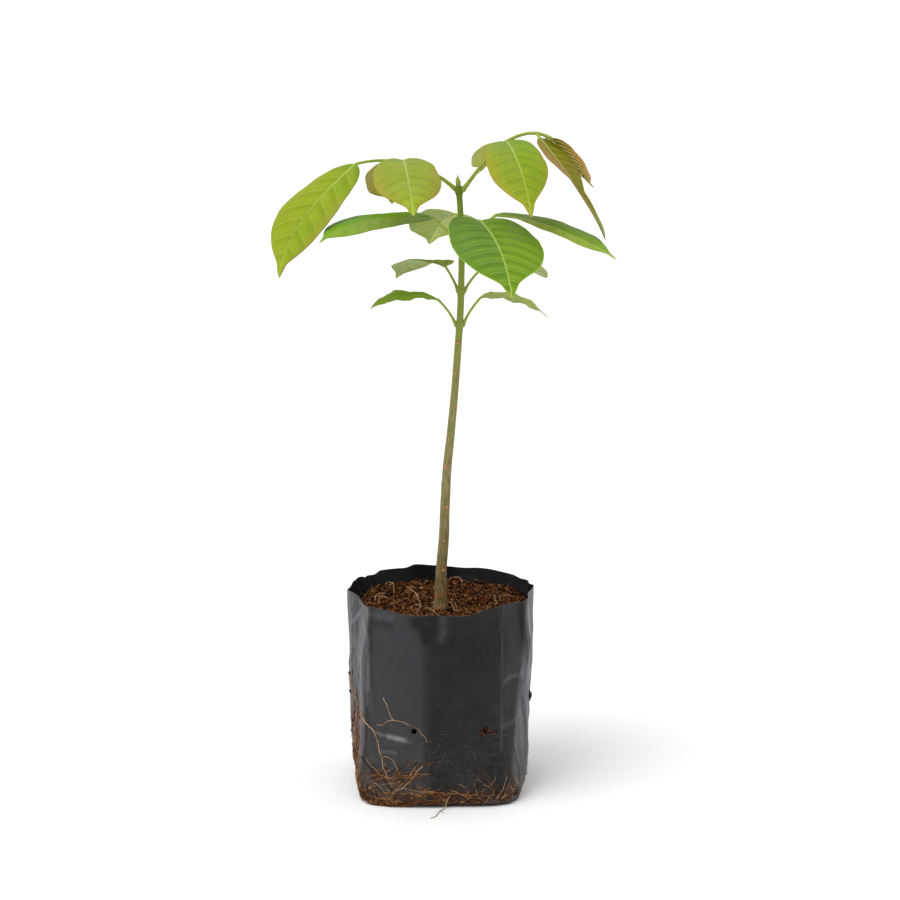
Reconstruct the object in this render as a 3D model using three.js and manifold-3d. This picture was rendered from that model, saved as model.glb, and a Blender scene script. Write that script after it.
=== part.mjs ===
// A potted African walnut seedling: one slender stem in a black nursery bag filled
// with coir, two compound leaves arching from its top and eight simple leaves in three
// tiers below them.
//
// Millimetres and degrees, +Z up, +X to the right and +Y away from the front. The origin
// is the middle of the bag's flat underside. A heading is a compass angle seen from
// above: 0 is +X, 90 is +Y, 180 is -X and 270 is the front. A pitch is the angle above
// level.

import * as THREE from "three";
import { mergeVertices } from "three/addons/utils/BufferGeometryUtils.js";
import Module from "manifold-3d";

const wasm = await Module();
wasm.setup();

// Room left between two pieces that touch on the real plant
const CLEARANCE = 0.35;

const STEM = {
  foot: 146.3,
  top: 487,
  base: 145,
  tip: 492,
  footX: -1,
  lean: 17,
  leanEnd: 0.83,
  hookBack: 3,
  slender: 2.3,
  girth: 2.45,
  girthPower: 1.8,
  flare: 1.6,
  flareHeight: 6,
  knuckle: 0.45,
  knuckleHeight: 3.2,
  crown: 1.1,
  crownHeight: 3.6,
  sides: 14,
  steps: 27,
  flareSteps: 3,
  flareReach: 0.05,
};

const BUD = {
  height: 9.2,
  radius: 2.0,
  tip: 0.35,
  widest: 0.3,
  fullness: 0.8,
  rings: [0, 0.12, 0.3, 0.5, 0.7, 0.86, 1],
  sides: 10,
};

// Heights on the stem where stalks leave it
const TIER = { right: 484.6, left: 485.6, middle: 442.5, low: 404.5, bottom: 378 };

const BAG = {
  height: 160,
  radius: 75.5,
  taper: 2.6,
  rightTaper: 2.6,
  footTuck: 4.3,
  footTuckHeight: 14,
  footPower: 5.5,
  bodyPower: 2.1,
  powerHeight: 20,
  mouthPower: 1.7,
  mouthDepth: 45,
  mouthWave: 2.2,
  wall: 1.0,
  floor: 1.6,
  sides: 48,
  levels: [0, 2.5, 8, 18, 34, 64, 105, 147.5, 160],
};

// Folds down the bag's sides: how far each stands out (or in, where negative) and how
// wide it is. The film is gusseted, so each side has a corner, a hollow and a crease.
// They deepen from nothing at the foot to their full depth over a few FOLD_STARTs.
const FOLD_START = 25;
const BAG_FOLDS = [
  { heading: 180, depth: 1.2, width: 5 },
  { heading: 202, depth: -3.4, width: 10 },
  { heading: 222, depth: 1.4, width: 7 },
  { heading: 156, depth: -3.0, width: 10 },
  { heading: 137, depth: 1.2, width: 7 },
  { heading: 0, depth: 0.3, width: 5 },
  { heading: 348, depth: -2.4, width: 7 },
  { heading: 337, depth: 1.4, width: 6 },
  { heading: 12, depth: -2.4, width: 7 },
  { heading: 24, depth: 1.2, width: 6 },
];

const DRAIN = { count: 8, first: 253, height: 64, radius: 2.2, reach: 16, sides: 8 };

const SOIL = {
  edge: 147.5,
  crest: 145,
  lump: 1.3,
  seatRadius: 9,
  rings: [0.86, 0.68, 0.5, 0.32, 0.2],
};

// The two stalks that carry leaflets
const RACHIS = {
  left: { tier: TIER.left, length: 81.5, girth: 1, heading: 186, pitch: [43, -13], ease: 1 },
  right: { tier: TIER.right, length: 87, girth: 1.3, heading: -8, pitch: [53.5, -31.5], ease: 2.7 },
};
const RACHIS_FORM = { foot: 1.9, slender: 1.15, tip: 0.95, footLength: 6, sides: 8, steps: 20 };

// A leaflet's seat on its rachis is found to the nearest of this many stops
const SEAT_STOPS = 80;

// Every leaf is a stalk that runs out from its seat and a blade that runs on from the
// stalk's end. heading and bend give the stalk's way out and how far it swings round,
// rise its pitch at both ends. For the blade, pitch is given at both ends and droops by
// the power ease, turn swings its midrib round, roll banks it, fold lifts both halves
// off flat at the base and beyond, and curl arches each half down to its margin. widest
// is where the blade is widest, along its length. round sets how blunt the base is, full
// how full the left and right halves stay towards the tip, and skew widens the left half.
// tip is given where it isn't the usual TIP.
const LEAVES = {
  leaflet_left_end: {
    seat: { on: "left", at: 1 },
    stalk: 2, heading: 205, bend: 5, rise: [-6, -16],
    length: 112, width: 56, pitch: [-37, -81], ease: 2.25, turn: 8, roll: [-11, -11],
    fold: [6, 11], curl: 23, widest: 0.51, round: 0.48, skew: -0.06,
    full: [2.7, 2.7],
  },
  leaflet_left_front: {
    seat: { on: "left", at: 0.5875 },
    stalk: 12, heading: 283, bend: -8, rise: [13, 8],
    length: 96, width: 53, pitch: [2, -40], ease: 0.85, turn: 3, roll: [0, 6],
    fold: [24, -2], curl: 33, widest: 0.42, round: 0.45, skew: 0,
    full: [2.9, 2.4],
  },
  leaflet_left_back: {
    seat: { on: "left", at: 0.5875 },
    stalk: 18, heading: 117, bend: -16, rise: [-3, -8],
    length: 92, width: 46, pitch: [-3, -53], ease: 1, turn: -19, roll: [0, -12],
    fold: [17, -5], curl: 45, widest: 0.42, round: 0.45, skew: -0.05,
    full: [3.6, 2.4],
  },
  leaflet_right_front: {
    seat: { on: "right", at: 0.575 },
    stalk: 5, heading: 279, bend: 0, rise: [12, 8],
    length: 106, width: 47.5, pitch: [-7, -55], ease: 1.25, turn: 4, roll: [4, -9],
    fold: [22, -1], curl: 25, widest: 0.42, round: 0.45, skew: 0,
    full: [2.3, 3.4],
  },
  leaflet_right_back: {
    seat: { on: "right", at: 0.575 },
    stalk: 14, heading: 110, bend: -9, rise: [-6, -11],
    length: 85, width: 42, pitch: [-4, -43], ease: 1.3, turn: 0, roll: [-1, -21],
    fold: [20, -10], curl: 38, widest: 0.42, round: 0.45, skew: -0.05,
    full: [2.4, 2.4],
  },
  leaflet_right_end_back: {
    seat: { on: "right", at: 0.9875 },
    stalk: 4, heading: 50, bend: 8, rise: [-4, -22],
    length: 74, width: 33.5, pitch: [-34, -39], ease: 1.15, turn: -11, roll: [4, 19],
    fold: [14, 5], curl: 17, widest: 0.42, round: 0.45, skew: 0,
    full: [2.4, 2.6],
  },
  leaflet_right_end_front: {
    seat: { on: "right", at: 0.875 },
    stalk: 5, heading: -75, bend: 46, rise: [-35, -48],
    length: 95, width: 34, pitch: [-47, -66], ease: 1.8, turn: 7, roll: [3, -9],
    fold: [6, 24], curl: 14, widest: 0.3, round: 0.45, skew: -0.03,
    full: [2.4, 2.4], tip: { end: 0.42, fine: 0.9, drip: 0.3, dripLength: 0.04 },
  },
  leaf_middle_left: {
    seat: { tier: TIER.middle },
    stalk: 30.5, heading: 199, bend: 7, rise: [47, 41],
    length: 105, width: 41, pitch: [5, -43], ease: 2.8, turn: 12, roll: [-7, -11],
    fold: [18, -2], curl: 19, widest: 0.51, round: 0.45, skew: 0,
    full: [3.8, 3.8], tip: { end: 0.9, fine: 1.2, drip: 0.25, dripLength: 0.1 },
  },
  leaf_middle_back: {
    seat: { tier: TIER.middle + 0.5 },
    stalk: 31.5, heading: 99, bend: 2, rise: [40, 35],
    length: 104, width: 55, pitch: [-8, -37], ease: 1.3, turn: 4, roll: [13, -5],
    fold: [18, 3], curl: 23, widest: 0.42, round: 0.45, skew: 0.03,
    full: [2.5, 2.5],
  },
  leaf_middle_front: {
    seat: { tier: TIER.middle - 3.5 },
    stalk: 41.5, heading: 299, bend: -14, rise: [39, 35],
    length: 126, width: 72, pitch: [-8, -38], ease: 1.5, turn: -8, roll: [-6, -9],
    fold: [22, 0], curl: 11, widest: 0.42, round: 0.45, skew: 0,
    full: [2.4, 3.4],
  },
  leaf_middle_right: {
    seat: { tier: TIER.middle + 2 },
    stalk: 33.5, heading: -15, bend: -5, rise: [42, 37],
    length: 108, width: 39, pitch: [0, -38], ease: 1.35, turn: -12, roll: [-4, 11],
    fold: [16, 2], curl: 17, widest: 0.45, round: 0.45, skew: -0.1,
    full: [3, 3], tip: { end: 0.9, fine: 1.2, drip: 0.12, dripLength: 0.03 },
  },
  leaf_low_left: {
    seat: { tier: TIER.low },
    stalk: 22.5, heading: 149, bend: -12, rise: [67, 44],
    length: 64, width: 42, pitch: [13, -52], ease: 1.3, turn: -8, roll: [5, 7],
    fold: [19, 2], curl: 12, widest: 0.44, round: 0.3, skew: 0,
    full: [2.8, 2.8],
  },
  leaf_low_right: {
    seat: { tier: TIER.low },
    stalk: 22, heading: 20, bend: 0, rise: [62, 37],
    length: 60, width: 25, pitch: [13, -45], ease: 1.5, turn: 3, roll: [-15, -18],
    fold: [15, 11], curl: 9, widest: 0.42, round: 0.45, skew: 0,
    full: [3.5, 3.5], tip: { end: 1, fine: 0.8, drip: 0.2, dripLength: 0.1 },
  },
  leaf_bottom_left: {
    seat: { tier: TIER.bottom },
    stalk: 25, heading: 185, bend: 6, rise: [66, 43],
    length: 58, width: 24, pitch: [15, -41], ease: 1.7, turn: 11, roll: [-3, -15],
    fold: [17, 7], curl: 17, widest: 0.42, round: 0.45, skew: 0,
    full: [2.4, 2.4],
  },
  leaf_bottom_right: {
    seat: { tier: TIER.bottom },
    stalk: 26, heading: 0, bend: 0, rise: [68, 46],
    length: 57, width: 23, pitch: [10, -47], ease: 1.1, turn: -2, roll: [6, 10],
    fold: [15, 9], curl: 16, widest: 0.42, round: 0.45, skew: 0,
    full: [2.4, 2.4],
  },
};

// Beyond its widest the blade's body narrows to nothing by a share, end, of the way, more
// finely as fine grows. A drip tip carries on to the end: drip wide, as a share of the
// blade, and narrowing over dripLength.
const TIP = { end: 0.86, fine: 1.3, drip: 0.3, dripLength: 0.12 };

// How a leaf is cut up and how stout it is
const LEAF = {
  thickness: 0.013,
  leastThickness: 0.85,
  smallLength: 70,
  stalkRadius: 1.2,
  smallStalkRadius: 1.0,
  stalkSwell: 0.6,
  footShare: 0.85,
  swellLength: 4,
  ribShare: 0.85,
  ribTip: 0.35,
  ribStart: 0.03,
  ribEnd: 0.9,
  ribSink: 0.35,
  baseHalf: 0.9,
  tipHalf: 0.25,
  columns: 3,
  rows: 14,
  smallRows: 10,
  stalkRings: 5,
  sides: 6,
};

// Roots that came out through the drain holes and cling to the outside of the bag, each
// as stations of [heading on the bag, height] from its thick end
const ROOTS = {
  root_left: { radius: [1.1, 0.6], stations: [[213, 72], [222, 63], [228, 57], [232, 43], [235, 31], [239, 22]] },
  root_left_fork: { radius: [0.8, 0.45], stations: [[234, 89], [237, 80], [241, 72.5], [246, 71], [250.5, 70]] },
  root_front: { radius: [0.8, 0.5], stations: [[259, 36.5], [253, 27], [247, 18.5], [241.5, 11.5], [240, 3]] },
  root_front_foot: { radius: [0.8, 0.5], stations: [[276, 11], [273, 6], [270, 2.5]] },
};
const ROOT = { sides: 6, steps: 3, clearance: 0.45 };

const COLOURS = {
  stem: 0x6f7d33,
  bud: 0x76803f,
  rachis: 0x8a9a2e,
  youngLeaf: 0x94aa3c,
  bronzeLeaf: 0x9a7f3c,
  matureLeaf: 0x66863c,
  smallLeaf: 0x7d9448,
  bag: 0x2c2d2f,
  soil: 0x5d3c26,
  root: 0x8a5a36,
};

const radians = THREE.MathUtils.degToRad;
const mix = THREE.MathUtils.lerp;

function smoothStep(u) {
  const v = Math.min(Math.max(u, 0), 1);
  return v * v * (3 - 2 * v);
}

function direction(heading, pitch) {
  const h = radians(heading);
  const p = radians(pitch);
  return new THREE.Vector3(Math.cos(h) * Math.cos(p), Math.sin(h) * Math.cos(p), Math.sin(p));
}

// Evenly spaced values from 0 to 1, or crowded towards both ends
function evenStops(count) {
  return Array.from({ length: count + 1 }, (_, i) => i / count);
}

function crowdedStops(count) {
  return evenStops(count).map((t) => (1 - Math.cos(Math.PI * t)) / 2);
}

// Stations along a limb that leaves start and bends as its heading and pitch change.
// Each has its point, its direction, the level vector to its left and the one above.
function walk(start, length, heading, pitch, ease, stops) {
  const path = [];
  stops.forEach((t, i) => {
    const turned = mix(heading[0], heading[1], t);
    const along = direction(turned, mix(pitch[0], pitch[1], t ** ease));
    const left = direction(turned + 90, 0);
    const above = along.clone().cross(left);
    const point = start.clone();
    if (i > 0) {
      const last = path[i - 1];
      const step = last.along.clone().add(along).normalize();
      point.copy(last.point).addScaledVector(step, length * (t - stops[i - 1]));
    }
    path.push({ point, along, left, above, t });
  });
  return path;
}

// A closed mesh from its corner points and triangles, turned so that its faces point out
function closedMesh(points, triangles) {
  let volume = 0;
  const normal = new THREE.Vector3();
  for (const [a, b, c] of triangles) {
    volume += normal.copy(points[b]).cross(points[c]).dot(points[a]);
  }
  const faces = volume < 0 ? triangles.map(([a, b, c]) => [a, c, b]) : triangles;
  const geometry = new THREE.BufferGeometry();
  const flat = points.flatMap((p) => [p.x, p.y, p.z]);
  geometry.setAttribute("position", new THREE.Float32BufferAttribute(flat, 3));
  geometry.setIndex(faces.flat());
  return geometry;
}

function middleOf(points) {
  const sum = new THREE.Vector3();
  points.forEach((p) => sum.add(p));
  return sum.divideScalar(points.length);
}

// A closed solid lofted through rings of equal count, with a fan of triangles over each
// end ring, the first round startHub. Each four-sided cell is split along its shorter
// diagonal.
function loft(rings, startHub = middleOf(rings[0])) {
  const count = rings[0].length;
  const points = rings.flat();
  const triangles = [];
  for (let r = 0; r + 1 < rings.length; r += 1) {
    for (let k = 0; k < count; k += 1) {
      const next = (k + 1) % count;
      const a = r * count + k;
      const b = r * count + next;
      const c = a + count;
      const d = b + count;
      if (points[b].distanceTo(points[c]) <= points[a].distanceTo(points[d])) {
        triangles.push([a, b, c], [b, d, c]);
      } else {
        triangles.push([a, b, d], [a, d, c]);
      }
    }
  }
  const ends = [
    { centre: startHub, first: 0, flip: true },
    { centre: middleOf(rings[rings.length - 1]), first: (rings.length - 1) * count, flip: false },
  ];
  for (const { centre, first, flip } of ends) {
    points.push(centre);
    const hub = points.length - 1;
    for (let k = 0; k < count; k += 1) {
      const a = first + k;
      const b = first + ((k + 1) % count);
      triangles.push(flip ? [b, a, hub] : [a, b, hub]);
    }
  }
  return closedMesh(points, triangles);
}

// A closed slab between two grids of points with the same rows and columns
function slab(top, bottom) {
  const rows = top.length;
  const columns = top[0].length;
  const points = [...top.flat(), ...bottom.flat()];
  const under = rows * columns;
  const triangles = [];
  for (let r = 0; r + 1 < rows; r += 1) {
    for (let c = 0; c + 1 < columns; c += 1) {
      const a = r * columns + c;
      const b = a + columns;
      triangles.push([a, a + 1, b], [a + 1, b + 1, b]);
      triangles.push([under + a, under + b, under + a + 1]);
      triangles.push([under + a + 1, under + b, under + b + 1]);
    }
  }
  const border = [];
  for (let c = 0; c < columns; c += 1) border.push(c);
  for (let r = 1; r < rows; r += 1) border.push(r * columns + columns - 1);
  for (let c = columns - 2; c >= 0; c -= 1) border.push((rows - 1) * columns + c);
  for (let r = rows - 2; r > 0; r -= 1) border.push(r * columns);
  border.forEach((a, i) => {
    const b = border[(i + 1) % border.length];
    triangles.push([a, under + a, b], [b, under + a, under + b]);
  });
  return closedMesh(points, triangles);
}

function ringAround(centre, left, above, radius, sides) {
  return evenStops(sides).slice(0, sides).map((u) => {
    const a = 2 * Math.PI * u;
    return centre.clone()
      .addScaledVector(left, radius * Math.cos(a))
      .addScaledVector(above, radius * Math.sin(a));
  });
}

function toManifold(geometry) {
  const bare = geometry.clone();
  bare.deleteAttribute("normal");
  bare.deleteAttribute("uv");
  const merged = mergeVertices(bare, 1e-5);
  return new wasm.Manifold(new wasm.Mesh({
    numProp: 3,
    vertProperties: new Float32Array(merged.attributes.position.array),
    triVerts: new Uint32Array(merged.index.array),
  }));
}

function fromManifold(solid) {
  const mesh = solid.getMesh();
  const geometry = new THREE.BufferGeometry();
  geometry.setAttribute("position", new THREE.Float32BufferAttribute(mesh.vertProperties, 3));
  geometry.setIndex(Array.from(mesh.triVerts));
  return geometry;
}

function fuse(first, second) {
  return fromManifold(toManifold(first).add(toManifold(second)));
}

// The stem's middle line leans right and hooks back a little near its top
function stemPoint(z) {
  const s = (z - STEM.base) / (STEM.tip - STEM.base);
  const hook = Math.max(0, (s - STEM.leanEnd) / (1 - STEM.leanEnd));
  const x = STEM.footX + STEM.lean * smoothStep(s / STEM.leanEnd) - STEM.hookBack * hook ** 2;
  return new THREE.Vector3(x, 0, z);
}

// It tapers, flares at the soil, and swells a little at each tier and below the bud
function stemRadius(z) {
  const s = Math.min((z - STEM.base) / (STEM.tip - STEM.base), 1);
  let radius = STEM.slender + STEM.girth * (1 - s) ** STEM.girthPower;
  radius += STEM.flare * Math.exp(-(z - STEM.foot) / STEM.flareHeight);
  for (const tier of [TIER.middle, TIER.low, TIER.bottom]) {
    radius += STEM.knuckle * Math.exp(-(((z - tier + 1) / STEM.knuckleHeight) ** 2));
  }
  radius += STEM.crown * Math.exp(-(((z - TIER.right) / STEM.crownHeight) ** 2));
  return radius;
}

// A limb that leaves the stem starts on its surface, on the side that it heads for
function tierStart(tier, heading) {
  return stemPoint(tier).addScaledVector(direction(heading, 0), stemRadius(tier));
}

// Rings stand closer together over the flare at the foot than above it
function makeStem() {
  const flare = evenStops(STEM.flareSteps).map((u) => u * STEM.flareReach);
  const shaft = evenStops(STEM.steps - STEM.flareSteps).slice(1).map((u) => mix(STEM.flareReach, 1, u));
  const rings = [...flare, ...shaft].map((share) => {
    const z = mix(STEM.foot, STEM.top, share);
    return ringAround(stemPoint(z), direction(0, 0), direction(90, 0), stemRadius(z), STEM.sides);
  });
  return loft(rings);
}

// A pointed bud that sits on the stem's flat top
function makeBud() {
  const base = STEM.top + CLEARANCE;
  const rings = BUD.rings.map((u) => {
    const swell = Math.sin(Math.PI * Math.min(0.5 + u - BUD.widest, 1));
    const radius = mix(BUD.tip, BUD.radius, Math.max(swell, 0) ** BUD.fullness);
    const centre = stemPoint(base + BUD.height * u);
    return ringAround(centre, direction(0, 0), direction(90, 0), radius, BUD.sides);
  });
  return loft(rings);
}

function rachisRadius(side, t) {
  const { foot, slender, tip, footLength } = RACHIS_FORM;
  const { length, girth } = RACHIS[side];
  const swell = (foot - slender) * Math.exp((-t * length) / footLength);
  return girth * mix(slender, tip, t) + swell;
}

function rachisPath(side, stops) {
  const { tier, length, heading, pitch, ease } = RACHIS[side];
  return walk(tierStart(tier, heading), length, [heading, heading], pitch, ease, stops);
}

// Where a stalk sits: a point on the middle line of what carries it, that line's
// direction, and the carrier's radius. A stalk that goes straight on from a rachis's end
// sits on its flat end instead.
function seatOf(seat) {
  if (seat.tier !== undefined) {
    const axis = stemPoint(seat.tier + 1).sub(stemPoint(seat.tier - 1)).normalize();
    return { point: stemPoint(seat.tier), axis, radius: stemRadius(seat.tier), end: false };
  }
  const stops = evenStops(SEAT_STOPS);
  const station = rachisPath(seat.on, stops)[Math.round(seat.at * SEAT_STOPS)];
  return {
    point: station.point,
    axis: station.along,
    radius: rachisRadius(seat.on, seat.at),
    end: seat.at === 1,
  };
}

// How far each corner of a stalk's first ring runs along the stalk before it clears the
// carrier
function seatedRing(carrier, along, ring) {
  return ring.map((corner) => {
    const offset = corner.clone().sub(carrier.point);
    if (carrier.end) {
      const run = (CLEARANCE - offset.dot(carrier.axis)) / along.dot(carrier.axis);
      return corner.clone().addScaledVector(along, run);
    }
    const flatOffset = offset.clone().addScaledVector(carrier.axis, -offset.dot(carrier.axis));
    const flatAlong = along.clone().addScaledVector(carrier.axis, -along.dot(carrier.axis));
    const reach = carrier.radius + CLEARANCE;
    const a = flatAlong.lengthSq();
    const b = flatOffset.dot(flatAlong);
    const c = flatOffset.lengthSq() - reach * reach;
    const run = (-b + Math.sqrt(Math.max(b * b - a * c, 0))) / a;
    return corner.clone().addScaledVector(along, run);
  });
}

// A round limb that starts seated on its carrier, as the middle of its foot and its
// rings. Stations that lie inside the seat are left out.
function seatedLimb(carrier, path, radiusAt, sides) {
  const first = path[0];
  const open = ringAround(first.point, first.left, first.above, radiusAt(first), sides);
  const [hub, ...seated] = seatedRing(carrier, first.along, [first.point, ...open]);
  const reach = Math.max(...seated.map((p) => p.clone().sub(first.point).dot(first.along)));
  const beyond = path.filter((s) => s.point.clone().sub(first.point).length() > reach + 0.5);
  const rest = beyond.map((s) => ringAround(s.point, s.left, s.above, radiusAt(s), sides));
  return { hub, rings: [seated, ...rest] };
}

function makeRachis(side) {
  const carrier = seatOf({ tier: RACHIS[side].tier });
  const path = rachisPath(side, evenStops(RACHIS_FORM.steps));
  const limb = seatedLimb(carrier, path, (s) => rachisRadius(side, s.t), RACHIS_FORM.sides);
  return loft(limb.rings, limb.hub);
}

// Half the blade's width on one side, as a share of the widest, at t along it
function bladeShare(leaf, t, sign) {
  if (t < leaf.widest) {
    return (1 - ((leaf.widest - t) / leaf.widest) ** 2) ** leaf.round;
  }
  const tip = leaf.tip ?? TIP;
  const u = (t - leaf.widest) / (1 - leaf.widest);
  const full = sign > 0 ? leaf.full[0] : leaf.full[1];
  const body = Math.max(1 - (u / tip.end) ** full, 0) ** tip.fine;
  const drip = tip.drip * (1 - Math.exp((t - 1) / tip.dripLength));
  return Math.cbrt(body ** 3 + drip ** 3);
}

// The blade's middle surface at one station, from its left margin to its right, with the
// surface's normal at each point
function bladeRow(leaf, station) {
  const { point, left, above, t } = station;
  const roll = radians(mix(leaf.roll[0], leaf.roll[1], t));
  const across = left.clone().multiplyScalar(Math.cos(roll)).addScaledVector(above, Math.sin(roll));
  const up = above.clone().multiplyScalar(Math.cos(roll)).addScaledVector(left, -Math.sin(roll));
  const least = mix(LEAF.baseHalf, LEAF.tipHalf, t);
  const fold = mix(leaf.fold[1], leaf.fold[0], (1 - t) ** 3);
  const halves = [1, -1].map((sign) => {
    const half = Math.max((leaf.width / 2) * bladeShare(leaf, t, sign), least);
    const step = (half * (1 + sign * leaf.skew)) / LEAF.columns;
    const cells = [];
    const at = point.clone();
    for (let k = 0; k < LEAF.columns; k += 1) {
      const tilt = radians(fold - (leaf.curl * (k + 0.5)) / LEAF.columns);
      at.addScaledVector(across, sign * step * Math.cos(tilt)).addScaledVector(up, step * Math.sin(tilt));
      const normal = up.clone().multiplyScalar(Math.cos(tilt));
      normal.addScaledVector(across, -sign * Math.sin(tilt));
      cells.push({ at: at.clone(), normal });
    }
    return cells;
  });
  return [...halves[0].reverse(), { at: point.clone(), normal: up }, ...halves[1]];
}

function offsetGrid(rows, distance) {
  return rows.map((row) => row.map(({ at, normal }) => at.clone().addScaledVector(normal, distance)));
}

// A stalk that goes on as the midrib under a thin blade, joined into one solid
function makeLeaf(leaf) {
  const small = leaf.length < LEAF.smallLength;
  const thickness = Math.max(LEAF.thickness * leaf.length, LEAF.leastThickness);
  const radius = small || leaf.seat.on ? LEAF.smallStalkRadius : LEAF.stalkRadius;
  const carrier = seatOf(leaf.seat);
  const start = leaf.seat.on ? carrier.point : tierStart(leaf.seat.tier, leaf.heading);
  const swung = leaf.heading + leaf.bend;
  const stalkStops = evenStops(LEAF.stalkRings);
  const stalk = walk(start, leaf.stalk, [leaf.heading, swung], leaf.rise, 1, stalkStops);
  const stops = crowdedStops(small ? LEAF.smallRows : LEAF.rows);
  const base = stalk[stalk.length - 1].point;
  const midrib = walk(base, leaf.length, [swung, swung + leaf.turn], leaf.pitch, leaf.ease, stops);
  const rows = midrib.map((station) => bladeRow(leaf, station));
  const blade = slab(offsetGrid(rows, thickness / 2), offsetGrid(rows, -thickness / 2));

  const rib = midrib.filter((s, i) => i % 2 === 0 && s.t > LEAF.ribStart && s.t < LEAF.ribEnd);
  const middle = LEAF.columns;
  const ribRings = rib.map((s) => {
    const up = rows[midrib.indexOf(s)][middle].normal;
    const centre = s.point.clone().addScaledVector(up, -thickness * LEAF.ribSink);
    const left = up.clone().cross(s.along);
    return ringAround(centre, left, up, mix(radius * LEAF.ribShare, LEAF.ribTip, s.t), LEAF.sides);
  });
  const foot = Math.min(radius + LEAF.stalkSwell, LEAF.footShare * (carrier.radius + CLEARANCE));
  const stalkRadius = (s) => mix(radius, foot, Math.exp((-s.t * leaf.stalk) / LEAF.swellLength));
  const limb = seatedLimb(carrier, stalk, stalkRadius, LEAF.sides);
  return fuse(blade, loft([...limb.rings, ...ribRings], limb.hub));
}

function foldDepth(heading, z) {
  const fade = 1 - Math.exp(-z / FOLD_START);
  let depth = 0;
  for (const fold of BAG_FOLDS) {
    const away = ((heading - fold.heading + 540) % 360) - 180;
    depth += fold.depth * Math.exp(-((away / fold.width) ** 2));
  }
  return depth * fade;
}

// The bag is square at its foot, round in the middle and pinched at the front of its mouth
function bagPower(heading, z) {
  const body = mix(BAG.bodyPower, BAG.footPower, Math.exp(-z / BAG.powerHeight));
  const front = Math.max(0, -Math.sin(radians(heading)));
  const mouth = smoothStep(1 - (BAG.height - z) / BAG.mouthDepth) * smoothStep(front * 3);
  return mix(body, BAG.mouthPower, mouth);
}

function bagRadius(heading, z) {
  const a = radians(heading);
  const tuck = BAG.footTuck * Math.exp(-z / BAG.footTuckHeight);
  const taper = BAG.taper + BAG.rightTaper * Math.max(Math.cos(a), 0) ** 2;
  const reach = BAG.radius - taper * (1 - z / BAG.height) - tuck;
  const power = bagPower(heading, z);
  const round = (Math.abs(Math.cos(a)) ** power + Math.abs(Math.sin(a)) ** power) ** (-1 / power);
  return reach * round + foldDepth(heading, z);
}

// The mouth's edge rises in a soft wave at the front quarters
function mouthLift(heading) {
  const wave = Math.cos(radians(4 * (heading - 225)));
  const front = smoothStep(0.5 - 2 * Math.sin(radians(heading)));
  return BAG.mouthWave * Math.max(wave, -0.3) * mix(0.4, 1, front);
}

function bagRing(z, inset, lift) {
  return evenStops(BAG.sides).slice(0, BAG.sides).map((u) => {
    const heading = 360 * u;
    const spoke = direction(heading, 0).multiplyScalar(bagRadius(heading, z) - inset);
    return spoke.setZ(z + (lift ? mouthLift(heading) : 0));
  });
}

function drainCutter(index) {
  const heading = DRAIN.first + (360 / DRAIN.count) * index;
  const cutter = new THREE.CylinderGeometry(DRAIN.radius, DRAIN.radius, DRAIN.reach, DRAIN.sides);
  cutter.rotateZ(radians(heading + 90));
  const centre = direction(heading, 0).multiplyScalar(bagRadius(heading, DRAIN.height));
  cutter.translate(centre.x, centre.y, DRAIN.height);
  return cutter;
}

// An open bag of one thin wall and a floor, with a row of drain holes low in the wall
function makeBag() {
  const last = BAG.levels.length - 1;
  const outside = BAG.levels.map((z, i) => bagRing(z, 0, i === last));
  const inside = BAG.levels.slice(1).map((z, i) => bagRing(z, BAG.wall, i === last - 1));
  const floor = bagRing(BAG.floor, BAG.wall, false);
  let bag = toManifold(loft([...outside, ...inside.reverse(), floor]));
  for (let i = 0; i < DRAIN.count; i += 1) {
    bag = bag.subtract(toManifold(drainCutter(i)));
  }
  return fromManifold(bag);
}

// Height of the coir's surface: a shallow dish with soft lumps, and a level seat round
// the stem's foot
function soilHeight(x, y, share) {
  const seat = STEM.foot - CLEARANCE;
  const out = Math.hypot(x - STEM.footX, y);
  const dish = mix(SOIL.crest, SOIL.edge, share ** 2);
  const lumps = Math.sin(x * 0.13 + 1.1) * Math.cos(y * 0.11 - 0.6) + 0.5 * Math.sin(x * 0.31 + y * 0.27);
  const surface = dish + SOIL.lump * lumps * (1 - share ** 4);
  return mix(seat, surface, smoothStep((out - SOIL.seatRadius) / SOIL.seatRadius));
}

function soilTopRing(share) {
  const inset = BAG.wall + CLEARANCE;
  return evenStops(BAG.sides).slice(0, BAG.sides).map((u) => {
    const heading = 360 * u;
    const reach = bagRadius(heading, SOIL.edge) - inset;
    const spoke = direction(heading, 0).multiplyScalar(reach * share);
    spoke.x += STEM.footX * (1 - share);
    return spoke.setZ(soilHeight(spoke.x, spoke.y, share));
  });
}

function seatRing() {
  const seat = new THREE.Vector3(STEM.footX, 0, STEM.foot - CLEARANCE);
  return ringAround(seat, direction(0, 0), direction(90, 0), SOIL.seatRadius, BAG.sides);
}

function makeSoil() {
  const inset = BAG.wall + CLEARANCE;
  const floor = BAG.floor + CLEARANCE;
  const levels = [floor, ...BAG.levels.filter((z) => z > floor && z < SOIL.edge - 1)];
  const wall = levels.map((z) => bagRing(z, inset, false));
  const top = [1, ...SOIL.rings].map((share) => soilTopRing(share));
  return loft([...wall, ...top, seatRing()]);
}

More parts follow.
